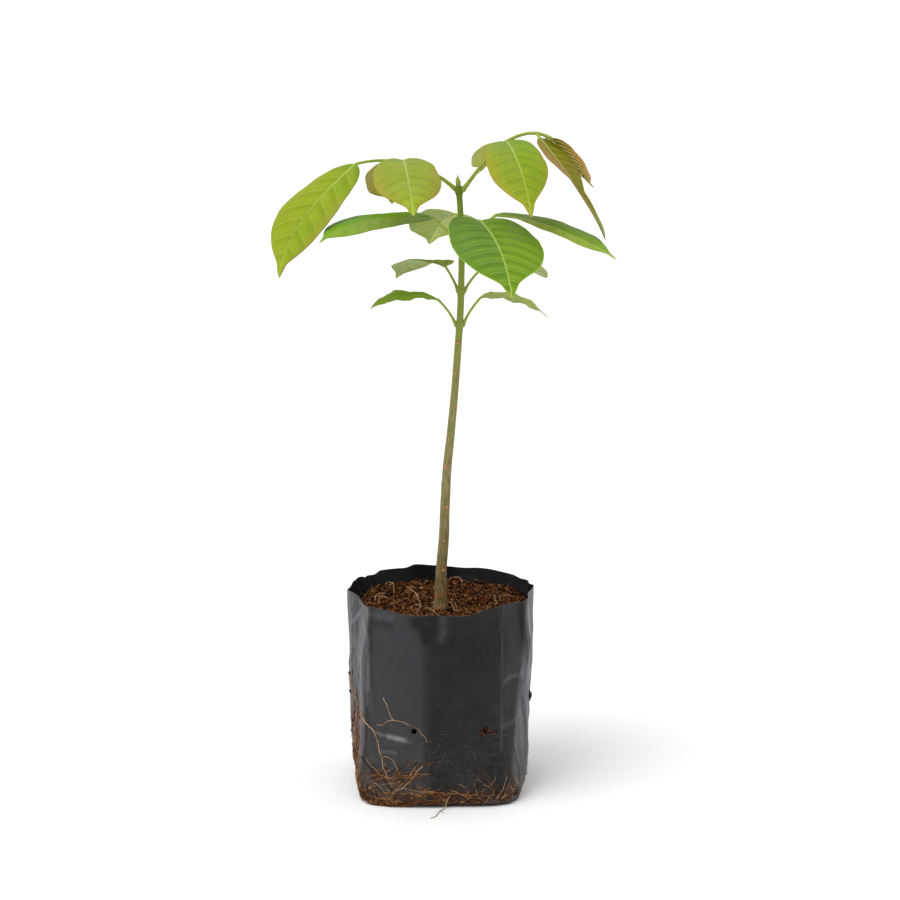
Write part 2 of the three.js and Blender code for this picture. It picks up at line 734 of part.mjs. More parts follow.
// A root that runs over the outside of the bag and gets finer towards its end
function makeRoot(root) {
  const lift = root.radius[0] + ROOT.clearance;
  const corners = root.stations.map(([heading, z]) => {
    const point = direction(heading, 0).multiplyScalar(bagRadius(heading, z) + lift);
    return point.setZ(z);
  });
  const curve = new THREE.CatmullRomCurve3(corners);
  const steps = ROOT.steps * (corners.length - 1);
  const rings = curve.getPoints(steps).map((point, i) => {
    const along = curve.getTangent(i / steps);
    const out = new THREE.Vector3(point.x, point.y, 0).normalize();
    const left = out.clone().cross(along).normalize();
    const radius = mix(root.radius[0], root.radius[1], i / steps);
    return ringAround(point, left, along.clone().cross(left), radius, ROOT.sides);
  });
  return loft(rings);
}

const plant = new THREE.Group();
plant.name = "potted_african_walnut";

function add(name, geometry, colour, roughness) {
  const material = new THREE.MeshStandardMaterial({ color: colour, roughness, metalness: 0 });
  const mesh = new THREE.Mesh(geometry, material);
  mesh.name = name;
  plant.add(mesh);
}

function leafColour(name) {
  if (name.startsWith("leaflet_right_end") || name === "leaflet_left_back") return COLOURS.bronzeLeaf;
  if (name.startsWith("leaflet")) return COLOURS.youngLeaf;
  return name.startsWith("leaf_middle") ? COLOURS.matureLeaf : COLOURS.smallLeaf;
}

add("nursery_bag", makeBag(), COLOURS.bag, 0.45);
add("soil", makeSoil(), COLOURS.soil, 0.95);
add("stem", makeStem(), COLOURS.stem, 0.6);
add("terminal_bud", makeBud(), COLOURS.bud, 0.55);
for (const side of Object.keys(RACHIS)) {
  add(`rachis_${side}`, makeRachis(side), COLOURS.rachis, 0.5);
}
for (const [name, leaf] of Object.entries(LEAVES)) {
  add(name, makeLeaf(leaf), leafColour(name), 0.45);
}
for (const [name, root] of Object.entries(ROOTS)) {
  add(name, makeRoot(root), COLOURS.root, 0.85);
}

export default plant;
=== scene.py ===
# A potted African walnut seedling: a slender stem in a black nursery bag of coir, two
# compound leaves arching from its top and eight simple leaves in three tiers.
#
# Sizes are millimetres and degrees until a mesh is made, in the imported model's own frame:
# +Z up, +X right, +Y away from the front. A heading is a compass angle seen from above,
# with 270 at the front, and a pitch is the angle above level.

import math

import bpy
import numpy as np
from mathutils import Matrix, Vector, noise


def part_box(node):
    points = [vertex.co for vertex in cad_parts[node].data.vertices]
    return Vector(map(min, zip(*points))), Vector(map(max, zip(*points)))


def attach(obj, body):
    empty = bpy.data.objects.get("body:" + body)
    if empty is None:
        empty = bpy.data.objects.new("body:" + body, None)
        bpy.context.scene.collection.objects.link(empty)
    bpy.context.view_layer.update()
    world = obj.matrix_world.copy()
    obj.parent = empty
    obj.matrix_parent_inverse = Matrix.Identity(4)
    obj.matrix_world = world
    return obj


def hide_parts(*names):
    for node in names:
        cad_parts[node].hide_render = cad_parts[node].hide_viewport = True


MM = 0.001
SEED = 5858

# The plant's own sizes, as in the part's source

STEM = {
    "foot": 146.3, "top": 487.0, "base": 145.0, "tip": 492.0,
    "foot_x": -1.0, "lean": 17.0, "lean_end": 0.83, "hook_back": 3.0,
    "slender": 2.3, "girth": 2.45, "girth_power": 1.8,
    "flare": 1.6, "flare_height": 6.0,
    "knuckle": 0.45, "knuckle_height": 3.2, "crown": 1.1, "crown_height": 3.6,
}
TIER = {"right": 484.6, "left": 485.6, "middle": 442.5, "low": 404.5, "bottom": 378.0}
BUD = {"height": 9.2, "radius": 2.0}

BAG = {
    "height": 160.0, "radius": 75.5, "taper": 2.6, "right_taper": 2.6,
    "foot_tuck": 4.3, "foot_tuck_height": 14.0,
    "foot_power": 5.5, "body_power": 2.1, "power_height": 20.0,
    "mouth_power": 1.7, "mouth_depth": 45.0, "film": 0.5,
}
BAG_FOLDS = [
    (180, 1.2, 5), (202, -3.4, 10), (222, 1.4, 7), (156, -3.0, 10), (137, 1.2, 7),
    (0, 0.3, 5), (348, -2.4, 7), (337, 1.4, 6), (12, -2.4, 7), (24, 1.2, 6),
]
FOLD_START = 25.0
# No coir sticks out of the open holes
DRAIN = {"count": 8, "first": 253.0, "height": 64.0, "radius": 2.2, "open": (0, 4)}
# The coir bed meets the film at its height. Its wall stays behind the film, and further
# behind at the holes.
BED = {
    "height": 148.0, "wall_top": 138.0, "behind": 1.2, "behind_holes": 3.6, "stem_gap": 6.6,
    "film_gap": 3.0,
}

RACHIS = {
    "left": {
        "tier": "left", "length": 81.5, "heading": 186, "pitch": (43, -13), "ease": 1.0, "girth": 1.15,
    },
    "right": {
        "tier": "right", "length": 87.0, "heading": -8, "pitch": (53.5, -31.5), "ease": 2.7,
        "girth": 1.3,
    },
}
RACHIS_FORM = {"foot": 1.9, "slender": 1.15, "tip": 0.95, "foot_length": 6.0}

# Each leaf's stalk and blade, where they aren't plain. seat is a tier of the stem and a height
# above it, or a side's rachis and a share of its length. rise is the stalk's pitch at both ends.
# widest is how far along the blade is at its widest, and round how blunt its base is. full is how
# full the left and right halves stay towards the tip. tip is where the body of the blade ends and
# how finely, then the drip tip's width and taper.
PLAIN_LEAF = {
    "widest": 0.42, "round": 0.45, "full": (2.4, 2.4), "tip": (0.86, 1.3, 0.3, 0.12), "skew": 0,
}
LEAVES = {
    "leaflet_left_end": {
        "seat": ("rachis_left", 1.0), "stalk": 2, "heading": 205, "bend": 5, "rise": (-6, -16),
        "length": 112, "width": 56, "pitch": (-37, -81), "ease": 2.25, "turn": 8, "roll": (-11, -11),
        "fold": (6, 11), "curl": 23, "widest": 0.51, "round": 0.48, "full": (2.7, 2.7), "skew": -0.06,
    },
    "leaflet_left_front": {
        "seat": ("rachis_left", 0.5875), "stalk": 12, "heading": 283, "bend": -8, "rise": (13, 8),
        "length": 96, "width": 53, "pitch": (2, -40), "ease": 0.85, "turn": 3, "roll": (0, 6),
        "fold": (24, -2), "curl": 33, "full": (2.9, 2.4),
    },
    "leaflet_left_back": {
        "seat": ("rachis_left", 0.5875), "stalk": 18, "heading": 117, "bend": -16, "rise": (-3, -8),
        "length": 92, "width": 46, "pitch": (-3, -53), "ease": 1, "turn": -19, "roll": (0, -12),
        "fold": (17, -5), "curl": 45, "full": (3.6, 2.4), "skew": -0.05,
    },
    "leaflet_right_front": {
        "seat": ("rachis_right", 0.575), "stalk": 5, "heading": 279, "bend": 0, "rise": (12, 8),
        "length": 106, "width": 47.5, "pitch": (-7, -55), "ease": 1.25, "turn": 4, "roll": (4, -9),
        "fold": (22, -1), "curl": 25, "full": (2.3, 3.4),
    },
    "leaflet_right_back": {
        "seat": ("rachis_right", 0.575), "stalk": 14, "heading": 110, "bend": -9, "rise": (-6, -11),
        "length": 85, "width": 42, "pitch": (-4, -43), "ease": 1.3, "turn": 0, "roll": (-1, -21),
        "fold": (20, -10), "curl": 38, "skew": -0.05,
    },
    "leaflet_right_end_back": {
        "seat": ("rachis_right", 0.9875), "stalk": 4, "heading": 50, "bend": 8, "rise": (-4, -22),
        "length": 74, "width": 33.5, "pitch": (-34, -39), "ease": 1.15, "turn": -11, "roll": (4, 19),
        "fold": (14, 5), "curl": 17, "full": (2.4, 2.6),
    },
    "leaflet_right_end_front": {
        "seat": ("rachis_right", 0.875), "stalk": 5, "heading": -75, "bend": 46, "rise": (-35, -48),
        "length": 95, "width": 34, "pitch": (-47, -66), "ease": 1.8, "turn": 7, "roll": (3, -9),
        "fold": (6, 24), "curl": 14, "widest": 0.3,
        "tip": (0.42, 0.9, 0.3, 0.04), "skew": -0.03,
    },
    "leaf_middle_left": {
        "seat": ("middle", 0), "stalk": 30.5, "heading": 199, "bend": 7, "rise": (47, 41),
        "length": 105, "width": 41, "pitch": (5, -43), "ease": 2.8, "turn": 12, "roll": (-7, -11),
        "fold": (18, -2), "curl": 19, "widest": 0.51, "full": (3.8, 3.8),
        "tip": (0.9, 1.2, 0.25, 0.1),
    },
    "leaf_middle_back": {
        "seat": ("middle", 0.5), "stalk": 31.5, "heading": 99, "bend": 2, "rise": (40, 35),
        "length": 104, "width": 55, "pitch": (-8, -37), "ease": 1.3, "turn": 4, "roll": (13, -5),
        "fold": (18, 3), "curl": 23, "full": (2.5, 2.5), "skew": 0.03,
    },
    "leaf_middle_front": {
        "seat": ("middle", -3.5), "stalk": 41.5, "heading": 299, "bend": -14, "rise": (39, 35),
        "length": 126, "width": 72, "pitch": (-8, -38), "ease": 1.5, "turn": -8, "roll": (-6, -9),
        "fold": (22, 0), "curl": 11, "full": (2.4, 3.4),
    },
    "leaf_middle_right": {
        "seat": ("middle", 2), "stalk": 33.5, "heading": -15, "bend": -5, "rise": (42, 37),
        "length": 108, "width": 39, "pitch": (0, -38), "ease": 1.35, "turn": -12, "roll": (-4, 11),
        "fold": (16, 2), "curl": 17, "widest": 0.45, "full": (3, 3),
        "tip": (0.9, 1.2, 0.12, 0.03), "skew": -0.1,
    },
    "leaf_low_left": {
        "seat": ("low", 0), "stalk": 22.5, "heading": 149, "bend": -12, "rise": (67, 44),
        "length": 64, "width": 42, "pitch": (13, -52), "ease": 1.3, "turn": -8, "roll": (5, 7),
        "fold": (19, 2), "curl": 12, "widest": 0.44, "round": 0.3, "full": (2.8, 2.8),
    },
    "leaf_low_right": {
        "seat": ("low", 0), "stalk": 22, "heading": 20, "bend": 0, "rise": (62, 37),
        "length": 60, "width": 25, "pitch": (13, -45), "ease": 1.5, "turn": 3, "roll": (-15, -18),
        "fold": (15, 11), "curl": 9, "full": (3.5, 3.5),
        "tip": (1, 0.8, 0.2, 0.1),
    },
    "leaf_bottom_left": {
        "seat": ("bottom", 0), "stalk": 25, "heading": 185, "bend": 6, "rise": (66, 43),
        "length": 58, "width": 24, "pitch": (15, -41), "ease": 1.7, "turn": 11, "roll": (-3, -15),
        "fold": (17, 7), "curl": 17,
    },
    "leaf_bottom_right": {
        "seat": ("bottom", 0), "stalk": 26, "heading": 0, "bend": 0, "rise": (68, 46),
        "length": 57, "width": 23, "pitch": (10, -47), "ease": 1.1, "turn": -2, "roll": (6, 10),
        "fold": (15, 9), "curl": 16,
    },
}

# Each leaf's looks. left and right tint the two halves of the blade, on two leaves as painted
# light, edge the outer part of each half, and heart the part along the midrib. spacing is the way
# in millimetres from one side vein to the next, lean and curve how they slant and bend towards the
# tip, and rib how far the midrib lies off the middle. shade is how strong the painted shade on one
# flank of each side vein is, and the painted highlight on the other. wave is how far the margin
# ripples, how often along the blade, and from where, and tail how much wider the blade is just
# before its end.
PLAIN_LOOK = {
    "patches": 0.5, "left": None, "right": None, "base": None, "tip": None, "heart": None,
    "edge": None, "veins": 0.5, "spacing": 15.0, "line": 0.7, "lean": 0.45, "curve": 0.004,
    "rib": 0.0, "shade": 0.16, "puff": 0.5, "wave": (0.5, 3.0, 0.0), "gloss": 0.42,
    "rim": "#7d7a3a", "rim_amount": 0.35, "under_veins": 0.5, "tail": 0.0,
}
LOOKS = {
    "leaflet_left_end": {
        "body": "#7a960e", "patch": "#949f16", "base": "#688920", "tip": "#95a325", "vein": "#9db040",
        "midrib": "#b2be5c", "rim": "#6b5030", "rim_amount": 0.6, "wave": (0.6, 2.5, 0.3),
        "right": "#8b9814", "edge": ("#958c32", 0.6, 0.2), "lean": 0.5, "puff": 0.8, "shade": 0.14,
        "veins": 0.7, "under": "#8d9a52", "under_vein": "#b0b575",
    },
    "leaflet_left_front": {
        "body": "#839420", "patch": "#95a03a", "base": "#6c8a38", "tip": "#9cae1c", "vein": "#9aa94c",
        "midrib": "#b0bb68", "rim": "#94733f", "rim_amount": 0.6, "spacing": 12, "wave": (0.7, 3.0, 0.5),
        "edge": ("#a08f36", 0.5, 0.5), "lean": 0.12, "curve": 0.008, "puff": 0.8, "shade": 0.17,
        "under": "#979551", "under_vein": "#b2b173",
    },
    "leaflet_left_back": {
        "body": "#a29839", "patch": "#949c36", "base": "#90a236", "tip": "#9daa3c", "vein": "#b7b05c",
        "midrib": "#bbbd67", "rim": "#84623a", "rim_amount": 0.7, "spacing": 12, "right": "#a8843a",
        "under": "#a69e42", "under_vein": "#bbae68", "wave": (0.6, 2.5, 0.1),
    },
    "leaflet_right_front": {
        "body": "#74950c", "patch": "#8a9414", "base": "#64893c", "tip": "#97a01c", "vein": "#93a93b",
        "midrib": "#aebb54", "rim": "#a8713a", "rim_amount": 0.7, "spacing": 13, "right": "#7e9423",
        "edge": ("#a8952a", 0.25, 0.5), "lean": 0.22, "curve": 0.01, "puff": 0.8, "shade": 0.15,
        "veins": 0.65, "wave": (0.6, 2.5, 0.8), "under": "#919b60", "under_vein": "#acb581",
    },
    "leaflet_right_back": {
        "body": "#a8b42a", "patch": "#b1b83a", "base": "#a6b52c", "tip": "#acb03b", "vein": "#bfc55e",
        "midrib": "#c6cf69", "rim": "#98743c", "rim_amount": 0.7, "spacing": 6, "veins": 0.6,
        "under": "#aeb43a", "under_vein": "#878a28", "under_veins": 0.7, "wave": (0.5, 2.5, 0.2),
    },
    "leaflet_right_end_back": {
        "body": "#d0a440", "patch": "#c49436", "base": "#bab63a", "tip": "#cf9c34", "vein": "#46480c",
        "midrib": "#66741c", "rim": "#9a5430", "rim_amount": 0.6, "spacing": 6.8, "line": 2.1,
        "veins": 0.78, "lean": 0.6, "heart": "#9ea02a", "under": "#d8a83c",
        "under_vein": "#5c4614", "under_veins": 1.0, "shade": 0.05, "wave": (0.4, 3.0, 0.4),
    },
    "leaflet_right_end_front": {
        "body": "#77740c", "patch": "#686c0c", "base": "#7d7b12", "tip": "#9aac62", "vein": "#8f893a",
        "midrib": "#b8b878", "rim": "#7a5c33", "rim_amount": 0.6, "spacing": 7, "right": "#a37c4c",
        "under": "#a4824c", "under_vein": "#b79c6d", "wave": (0.8, 2.0, 0.6), "puff": 0.3, "tail": 1.7,
    },
    # Painted light: the nearer left half is paler, as a painted reflection, and the farther right half
    # darker green, as painted shade
    "leaf_middle_left": {
        "body": "#6b9019", "patch": "#7c9a34", "base": "#5f8420", "tip": "#78a01c", "vein": "#8ba44c",
        "midrib": "#80a038", "left": "#849c3e", "right": "#65960c", "spacing": 12, "veins": 0.12,
        "shade": 0.08, "rib": 0.22, "under": "#96a35e", "under_vein": "#b0ba79",
        "wave": (0.35, 2.6, 0.2),
    },
    "leaf_middle_back": {
        "body": "#9dac5e", "patch": "#96aa50", "base": "#b0ba5a", "vein": "#b0bf70", "midrib": "#bccb7c",
        "spacing": 12.5, "veins": 0.6, "right": "#adba56",
        "under": "#85993a", "under_vein": "#b6c574", "under_veins": 0.75, "wave": (0.8, 3.0, 0.7),
    },
    "leaf_middle_front": {
        "body": "#5d8414", "patch": "#6e8f1a", "base": "#5f8228", "tip": "#678906", "vein": "#8fab55",
        "midrib": "#b3cb66", "rim": "#a8c848", "rim_amount": 0.65, "spacing": 14, "puff": 0.8,
        "left": "#6c9010", "right": "#5a7f24", "lean": 0.15, "curve": 0.009, "shade": 0.22,
        "under": "#8a9b61", "under_vein": "#a9b680", "wave": (0.9, 2.5, 0.9),
    },
    # Painted light: the farther left half is darker green, as painted shade, and the nearer right half
    # paler, as a painted reflection
    "leaf_middle_right": {
        "body": "#6d9014", "patch": "#829e2a", "base": "#5f8418", "tip": "#7f9f30", "vein": "#98ac54",
        "midrib": "#b0bf5c", "left": "#6a9018", "right": "#98ac42", "spacing": 12, "veins": 0.18,
        "rib": -0.5, "shade": 0.1, "under": "#96a75c", "under_vein": "#b1bd7b", "wave": (0.6, 2.5, 0.0),
    },
    "leaf_low_left": {
        "body": "#7a8e40", "patch": "#889a4e", "base": "#889648", "vein": "#98a864", "midrib": "#a0ae6a",
        "spacing": 9, "veins": 0.25, "under": "#8b9a58", "under_vein": "#a3b176",
        "wave": (0.8, 2.0, 0.4),
    },
    "leaf_low_right": {
        "body": "#889f4e", "patch": "#94aa5a", "vein": "#9fb26b", "midrib": "#abbb74", "spacing": 8,
        "veins": 0.3, "under": "#a6b378", "under_vein": "#adbb81", "wave": (0.5, 2.0, 0.5),
    },
    "leaf_bottom_left": {
        "body": "#89ac2c", "patch": "#94b13a", "vein": "#9bb35a", "midrib": "#a6ba62", "spacing": 8,
        "veins": 0.3, "under": "#93a85c", "under_vein": "#acba7d", "wave": (1.0, 2.9, 0.04),
        "left": "#8cac2e", "shade": 0.04,
    },
    "leaf_bottom_right": {
        "body": "#b3c16a", "patch": "#bac672", "vein": "#b4c27e", "midrib": "#b4c27a", "spacing": 8,
        "veins": 0.3, "under": "#a4b274", "under_vein": "#b9c48a", "wave": (0.9, 3.3, 0.6),
        "right": "#acbb68", "shade": 0.05,
    },
}
LEAF = {
    "thickness": 0.5, "edge_thickness": 0.25, "small_length": 70, "stalk_radius": 1.2,
    "small_stalk_radius": 1.0, "stalk_swell": 0.6, "swell_length": 4.0, "base_half": 0.9,
    "tip_half": 0.06, "rib_rise": 0.36, "groove": 0.3, "groove_width": 0.9, "keel": 2.4,
    "tail_at": 0.88, "tail_length": 0.06, "rows": 110, "columns": 22, "small_rows": 70,
    "small_columns": 15, "stalk_stations": 22, "stalk_sides": 14,
}
# The right half's side veins start this share of their spacing further on than the left one's
VEIN_SHIFT = 0.35
# How thick a limb is at the three stations that are sunk in what carries it
SUNK_ENDS = (0.3, 0.72, 0.95)

# Roots on the outside of the bag: the radius at the thick end and at the thin one, and then
# stations of (heading, height) from the thick end on
ROOTS = {
    "root_left": (
        0.72, 0.45, [(212.5, 72), (221.5, 63.5), (227.5, 57), (231.5, 43.5), (234.3, 32.5), (239.2, 23)],
    ),
    "root_left_fork": (0.5, 0.36, [(233.5, 89), (236.5, 80), (239.5, 72.5), (245, 71.5), (250.5, 69.5)]),
    "root_front": (0.5, 0.42, [(258.7, 36.3), (253, 27), (247.5, 18.5), (241.5, 11.5), (240.2, 2.5)]),
    "root_front_foot": (0.55, 0.42, [(275.5, 10.5), (273, 6), (271, 2.5)]),
}
SIDE_ROOTS = {
    "cross_left": (0.3, 0.42, [(228.5, 65), (232, 66), (236, 70), (240, 72)]),
    "left_join": (0.42, 0.38, [(234.3, 32.5), (238.9, 22.7), (242, 17), (244, 13)]),
    "low_branch": (0.34, 0.2, [(233, 40), (236, 41), (240, 38.5), (243.5, 32), (244.5, 28)]),
    "nest_run": (0.3, 0.22, [(226, 13), (230, 19), (234, 15), (238, 9), (240, 4)]),
    "front_run": (0.34, 0.24, [(247, 18), (254, 14.5), (262, 14), (270, 13), (281, 12)]),
    "right_up": (0.36, 0.26, [(302, 6), (305.7, 11), (308, 17), (310, 24)]),
    "right_fork": (0.3, 0.22, [(296, 2), (298.5, 7), (301, 10.5), (304.5, 7)]),
    "hole_thread": (0.26, 0.2, [(251, 69), (256, 65), (259, 60), (261, 55)]),
    "back_long": (0.8, 0.45, [(72, 62), (76, 50), (84, 38), (88, 22), (97, 12), (104, 3)]),
    "back_cross": (0.42, 0.28, [(118, 66), (112, 57), (104, 50), (93, 45), (86, 41)]),
    "back_foot": (0.5, 0.3, [(140, 30), (133, 20), (128, 10), (129, 2.5)]),
    "side_thread": (0.45, 0.3, [(20, 34), (24, 24), (31, 15), (33, 3)]),
    "left_edge": (0.5, 0.32, [(196, 84), (199, 66), (196, 47), (201, 27), (206, 8)]),
    "corner_high": (0.42, 0.3, [(205, 27), (209, 18), (216, 11), (224, 7.5), (235, 6)]),
    "corner_low": (0.38, 0.26, [(204, 17), (210, 9), (218, 4.5), (229, 2.5), (241, 1.5)]),
    "corner_loop": (0.34, 0.24, [(214, 22), (212, 15), (216, 9), (223, 5), (228, 8)]),
}
# The end of one root lies on the floor in front of the bag, as points in millimetres
FLOOR_ROOT = [
    (5.5, -69.5, 8.5), (4, -71.5, 4.5), (2.5, -74, 1.2), (-1, -78, 0.5), (-3.2, -85.5, 0.5),
    (-5, -91.5, 0.7), (-8.8, -94, 0.5),
]
FLOOR_FORK = [(-1, -78, 0.5), (1, -80.5, 0.6), (1.8, -83.5, 0.5)]


def direction(heading, pitch):
    """Unit vectors at a heading and a pitch."""
    h = np.radians(heading)
    p = np.radians(pitch) + 0 * h
    return np.stack([np.cos(h) * np.cos(p), np.sin(h) * np.cos(p), np.sin(p)], -1)


def mix(a, b, t):
    """The value a share t of the way from a to b."""
    return a + (b - a) * t


def smooth_step(u):
    """A soft rise from 0 to 1."""
    v = np.clip(u, 0, 1)
    return v * v * (3 - 2 * v)


def unit(vectors):
    """The vectors, one long."""
    return vectors / np.linalg.norm(vectors, axis=-1, keepdims=True)


def headings_round(count):
    """Headings evenly spaced, once round."""
    return np.arange(count) * 360 / count


def turn_from(heading, middle):
    """How far a heading lies round from another, from -180 to 180."""
    return (heading - middle + 540) % 360 - 180


def hump(away, width):
    """1 in the middle, and less and less away from it."""
    return np.exp(-((away / width) ** 2))


def ring(heading, reach, z):
    """Points at a heading, that far out from the bag's axis and that high."""
    return direction(heading, 0) * reach[..., None] + np.stack([0 * z, 0 * z, z], -1)


def walk(start, length, heading, pitch, ease, stops):
    """Stations along a limb: its points, their directions, and the left and above ones."""
    t = np.asarray(stops, float)
    turned = mix(heading[0], heading[1], t)
    along = direction(turned, mix(pitch[0], pitch[1], t ** ease))
    left = direction(turned + 90, 0 * t)
    above = np.cross(along, left)
    step = unit(along[1:] + along[:-1]) * (length * np.diff(t))[:, None]
    point = np.vstack([start, start + np.cumsum(step, axis=0)])
    return {"point": point, "along": along, "left": left, "above": above, "t": t}


def stem_point(z):
    """The stem's middle line, which leans to the right and hooks back at the top."""
    z = np.asarray(z, float)
    s = (z - STEM["base"]) / (STEM["tip"] - STEM["base"])
    hook = np.maximum(0, (s - STEM["lean_end"]) / (1 - STEM["lean_end"]))
    x = STEM["foot_x"] + STEM["lean"] * smooth_step(s / STEM["lean_end"]) - STEM["hook_back"] * hook ** 2
    return np.stack([x, 0 * x, z + 0 * x], -1)


def stem_radius(z):
    """The stem's radius, with its flare and the swelling at each tier."""
    z = np.asarray(z, float)
    s = np.clip((z - STEM["base"]) / (STEM["tip"] - STEM["base"]), 0, 1)
    radius = STEM["slender"] + STEM["girth"] * (1 - s) ** STEM["girth_power"]
    radius += STEM["flare"] * np.exp(-(z - STEM["foot"]) / STEM["flare_height"])
    for tier in ("middle", "low", "bottom"):
        radius += STEM["knuckle"] * hump(z - TIER[tier] + 1, STEM["knuckle_height"])
    return radius + STEM["crown"] * hump(z - TIER["right"], STEM["crown_height"])


def tier_start(z, heading):
    """A point on the stem's surface."""
    return stem_point(z) + direction(heading, 0) * stem_radius(z)


def rachis_path(side, stops):
    """The stations of one rachis, at shares of its length."""
    limb = RACHIS[side]
    start = tier_start(TIER[limb["tier"]], limb["heading"])
    heading = (limb["heading"], limb["heading"])
    return walk(start, limb["length"], heading, limb["pitch"], limb["ease"], stops)


def rachis_radius(side, t):
    """A rachis's radius, thicker at its foot."""
    form, limb = RACHIS_FORM, RACHIS[side]
    swell = (form["foot"] - form["slender"]) * np.exp(-t * limb["length"] / form["foot_length"])
    return limb["girth"] * mix(form["slender"], form["tip"], t) + swell


def fold_depth(heading, z):
    """The upright folds of the filled bag, which fade towards its foot."""
    depth = 0 * heading
    for middle, most, width in BAG_FOLDS:
        depth = depth + most * hump(turn_from(heading, middle), width)
    return depth * (1 - np.exp(-z / FOLD_START))


def bag_radius(heading, z):
    """The bag's outline: a rounded square at the foot, rounder upwards, gathered at the front."""
    a = np.radians(heading)
    body = mix(BAG["body_power"], BAG["foot_power"], np.exp(-z / BAG["power_height"]))
    front = np.maximum(0, -np.sin(a))
    mouth = smooth_step(1 - (BAG["height"] - z) / BAG["mouth_depth"]) * smooth_step(front * 3)
    power = mix(body, BAG["mouth_power"], mouth)
    tuck = BAG["foot_tuck"] * np.exp(-z / BAG["foot_tuck_height"])
    taper = BAG["taper"] + BAG["right_taper"] * np.maximum(np.cos(a), 0) ** 2
    reach = BAG["radius"] - taper * (1 - z / BAG["height"]) - tuck
    around = (np.abs(np.cos(a)) ** power + np.abs(np.sin(a)) ** power) ** (-1 / power)
    return reach * around + fold_depth(heading, z)


# Meshes

def grid_faces(rows, columns, wrap=False, flip=False):
    """Four-sided faces between the points of a grid, closed round where wrap is set."""
    index = np.arange(rows * columns).reshape(rows, columns)
    if wrap:
        index = np.concatenate([index, index[:, :1]], axis=1)
    a, b = index[:-1, :-1], index[:-1, 1:]
    c, d = index[1:, 1:], index[1:, :-1]
    order = [a, d, c, b] if flip else [a, b, c, d]
    return np.stack(order, -1).reshape(-1, 4)


def barrel_faces(rows, sides):
    """The faces of a stack of rings that is closed at both ends."""
    end = np.arange(sides)[None]
    return [grid_faces(rows, sides, wrap=True), end[:, ::-1], end + (rows - 1) * sides]


def pairs(a, b):
    """Two numbers for each point, as a flat map holds them."""
    return np.stack(np.broadcast_arrays(a, b), -1).reshape(-1, 2)


class Shape:
    """Points, faces, a material slot for each face and flat maps, gathered into one mesh."""

    def __init__(self):
        self.points = []
        self.faces = []
        self.slots = []
        self.maps = {}
        self.count = 0

    def add(self, points, face_sets, slot=0, **maps):
        """Adds points, with faces that count from the first of them."""
        points = np.asarray(points, float).reshape(-1, 3)
        for face_set in face_sets:
            self.stitch(np.asarray(face_set) + self.count, slot)
        for name, values in maps.items():
            self.maps.setdefault(name, []).append((self.count, np.asarray(values, float)))
        self.points.append(points)
        self.count += len(points)

    def stitch(self, faces, slot=0):
        """Adds faces between points that are there already."""
        self.faces.extend(faces.tolist())
        self.slots.extend([slot] * len(faces))

    def build(self, name, materials, sharp=None):
        """Makes the object, with creases where faces meet at more than the sharp angle."""
        mesh = bpy.data.meshes.new(name)
        points = np.concatenate(self.points) * MM
        mesh.from_pydata(points.tolist(), [], self.faces)
        for material in materials:
            mesh.materials.append(material)
        if len(materials) > 1:
            mesh.polygons.foreach_set("material_index", self.slots)
        corners = np.zeros(len(mesh.loops), int)
        mesh.loops.foreach_get("vertex_index", corners)
        for map_name, parts in self.maps.items():
            flat = np.zeros((self.count, 2))
            for first, values in parts:
                flat[first:first + len(values)] = values
            layer = mesh.uv_layers.new(name=map_name)
            layer.data.foreach_set("uv", flat[corners].ravel())
        mesh.polygons.foreach_set("use_smooth", [True] * len(mesh.polygons))
        if sharp:
            mesh.set_sharp_from_angle(angle=math.radians(sharp))
        mesh.update()
        made = bpy.data.objects.new(name, mesh)
        bpy.context.scene.collection.objects.link(made)
        return made


def settle(made, node=None):
    """Fixes a piece to the part, in the place of the part's own node where one is named."""
    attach(made, "root")
    if node:
        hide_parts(node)


def tubes(points, radii, sides, hint):
    """Round tubes along paths, as points and faces: points is (tubes, stations, 3)."""
    tangent = unit(np.gradient(points, axis=1))
    side = unit(np.cross(tangent, hint))
    up = np.cross(side, tangent)
    a = 2 * np.pi * np.arange(sides) / sides
    round_it = side[:, :, None] * np.cos(a)[:, None] + up[:, :, None] * np.sin(a)[:, None]
    corners = points[:, :, None] + round_it * radii[:, :, None, None]
    count, stations = points.shape[:2]
    index = np.arange(count * stations * sides).reshape(count, stations, sides)
    turned = np.roll(index, -1, axis=2)
    walls = np.stack([index[:, :-1], index[:, 1:], turned[:, 1:], turned[:, :-1]], -1)
    return corners.reshape(-1, 3), [walls.reshape(-1, 4), index[:, 0], index[:, -1, ::-1]]


def curve_through(stations, count):
    """A smooth path through a few points, evenly stepped."""
    p = np.asarray(stations, float)
    p = np.vstack([2 * p[0] - p[1], p, 2 * p[-1] - p[-2]])
    u = np.linspace(0, len(p) - 3 - 1e-9, count)
    i = u.astype(int)
    f = (u - i)[:, None]
    a, b, c, d = p[i], p[i + 1], p[i + 2], p[i + 3]
    square, cube = 2 * a - 5 * b + 4 * c - d, 3 * b - a - 3 * c + d
    return 0.5 * (2 * b + (c - a) * f + square * f ** 2 + cube * f ** 3)


def noise_of(points, size, offset=0.0):
    """Smooth noise from -1 to 1 at each point, in lumps of about that size."""
    shift = Vector((offset, offset * 1.7, -offset))
    values = [noise.noise(Vector(p) / size + shift) for p in points.reshape(-1, 3)]
    return np.array(values).reshape(points.shape[:-1])


# Materials

def hue(code):
    """A colour from its six-figure code, as linear light."""
    parts = [int(code[i:i + 2], 16) / 255 for i in (1, 3, 5)]
    return (*[c / 12.92 if c <= 0.04045 else ((c + 0.055) / 1.055) ** 2.4 for c in parts], 1.0)


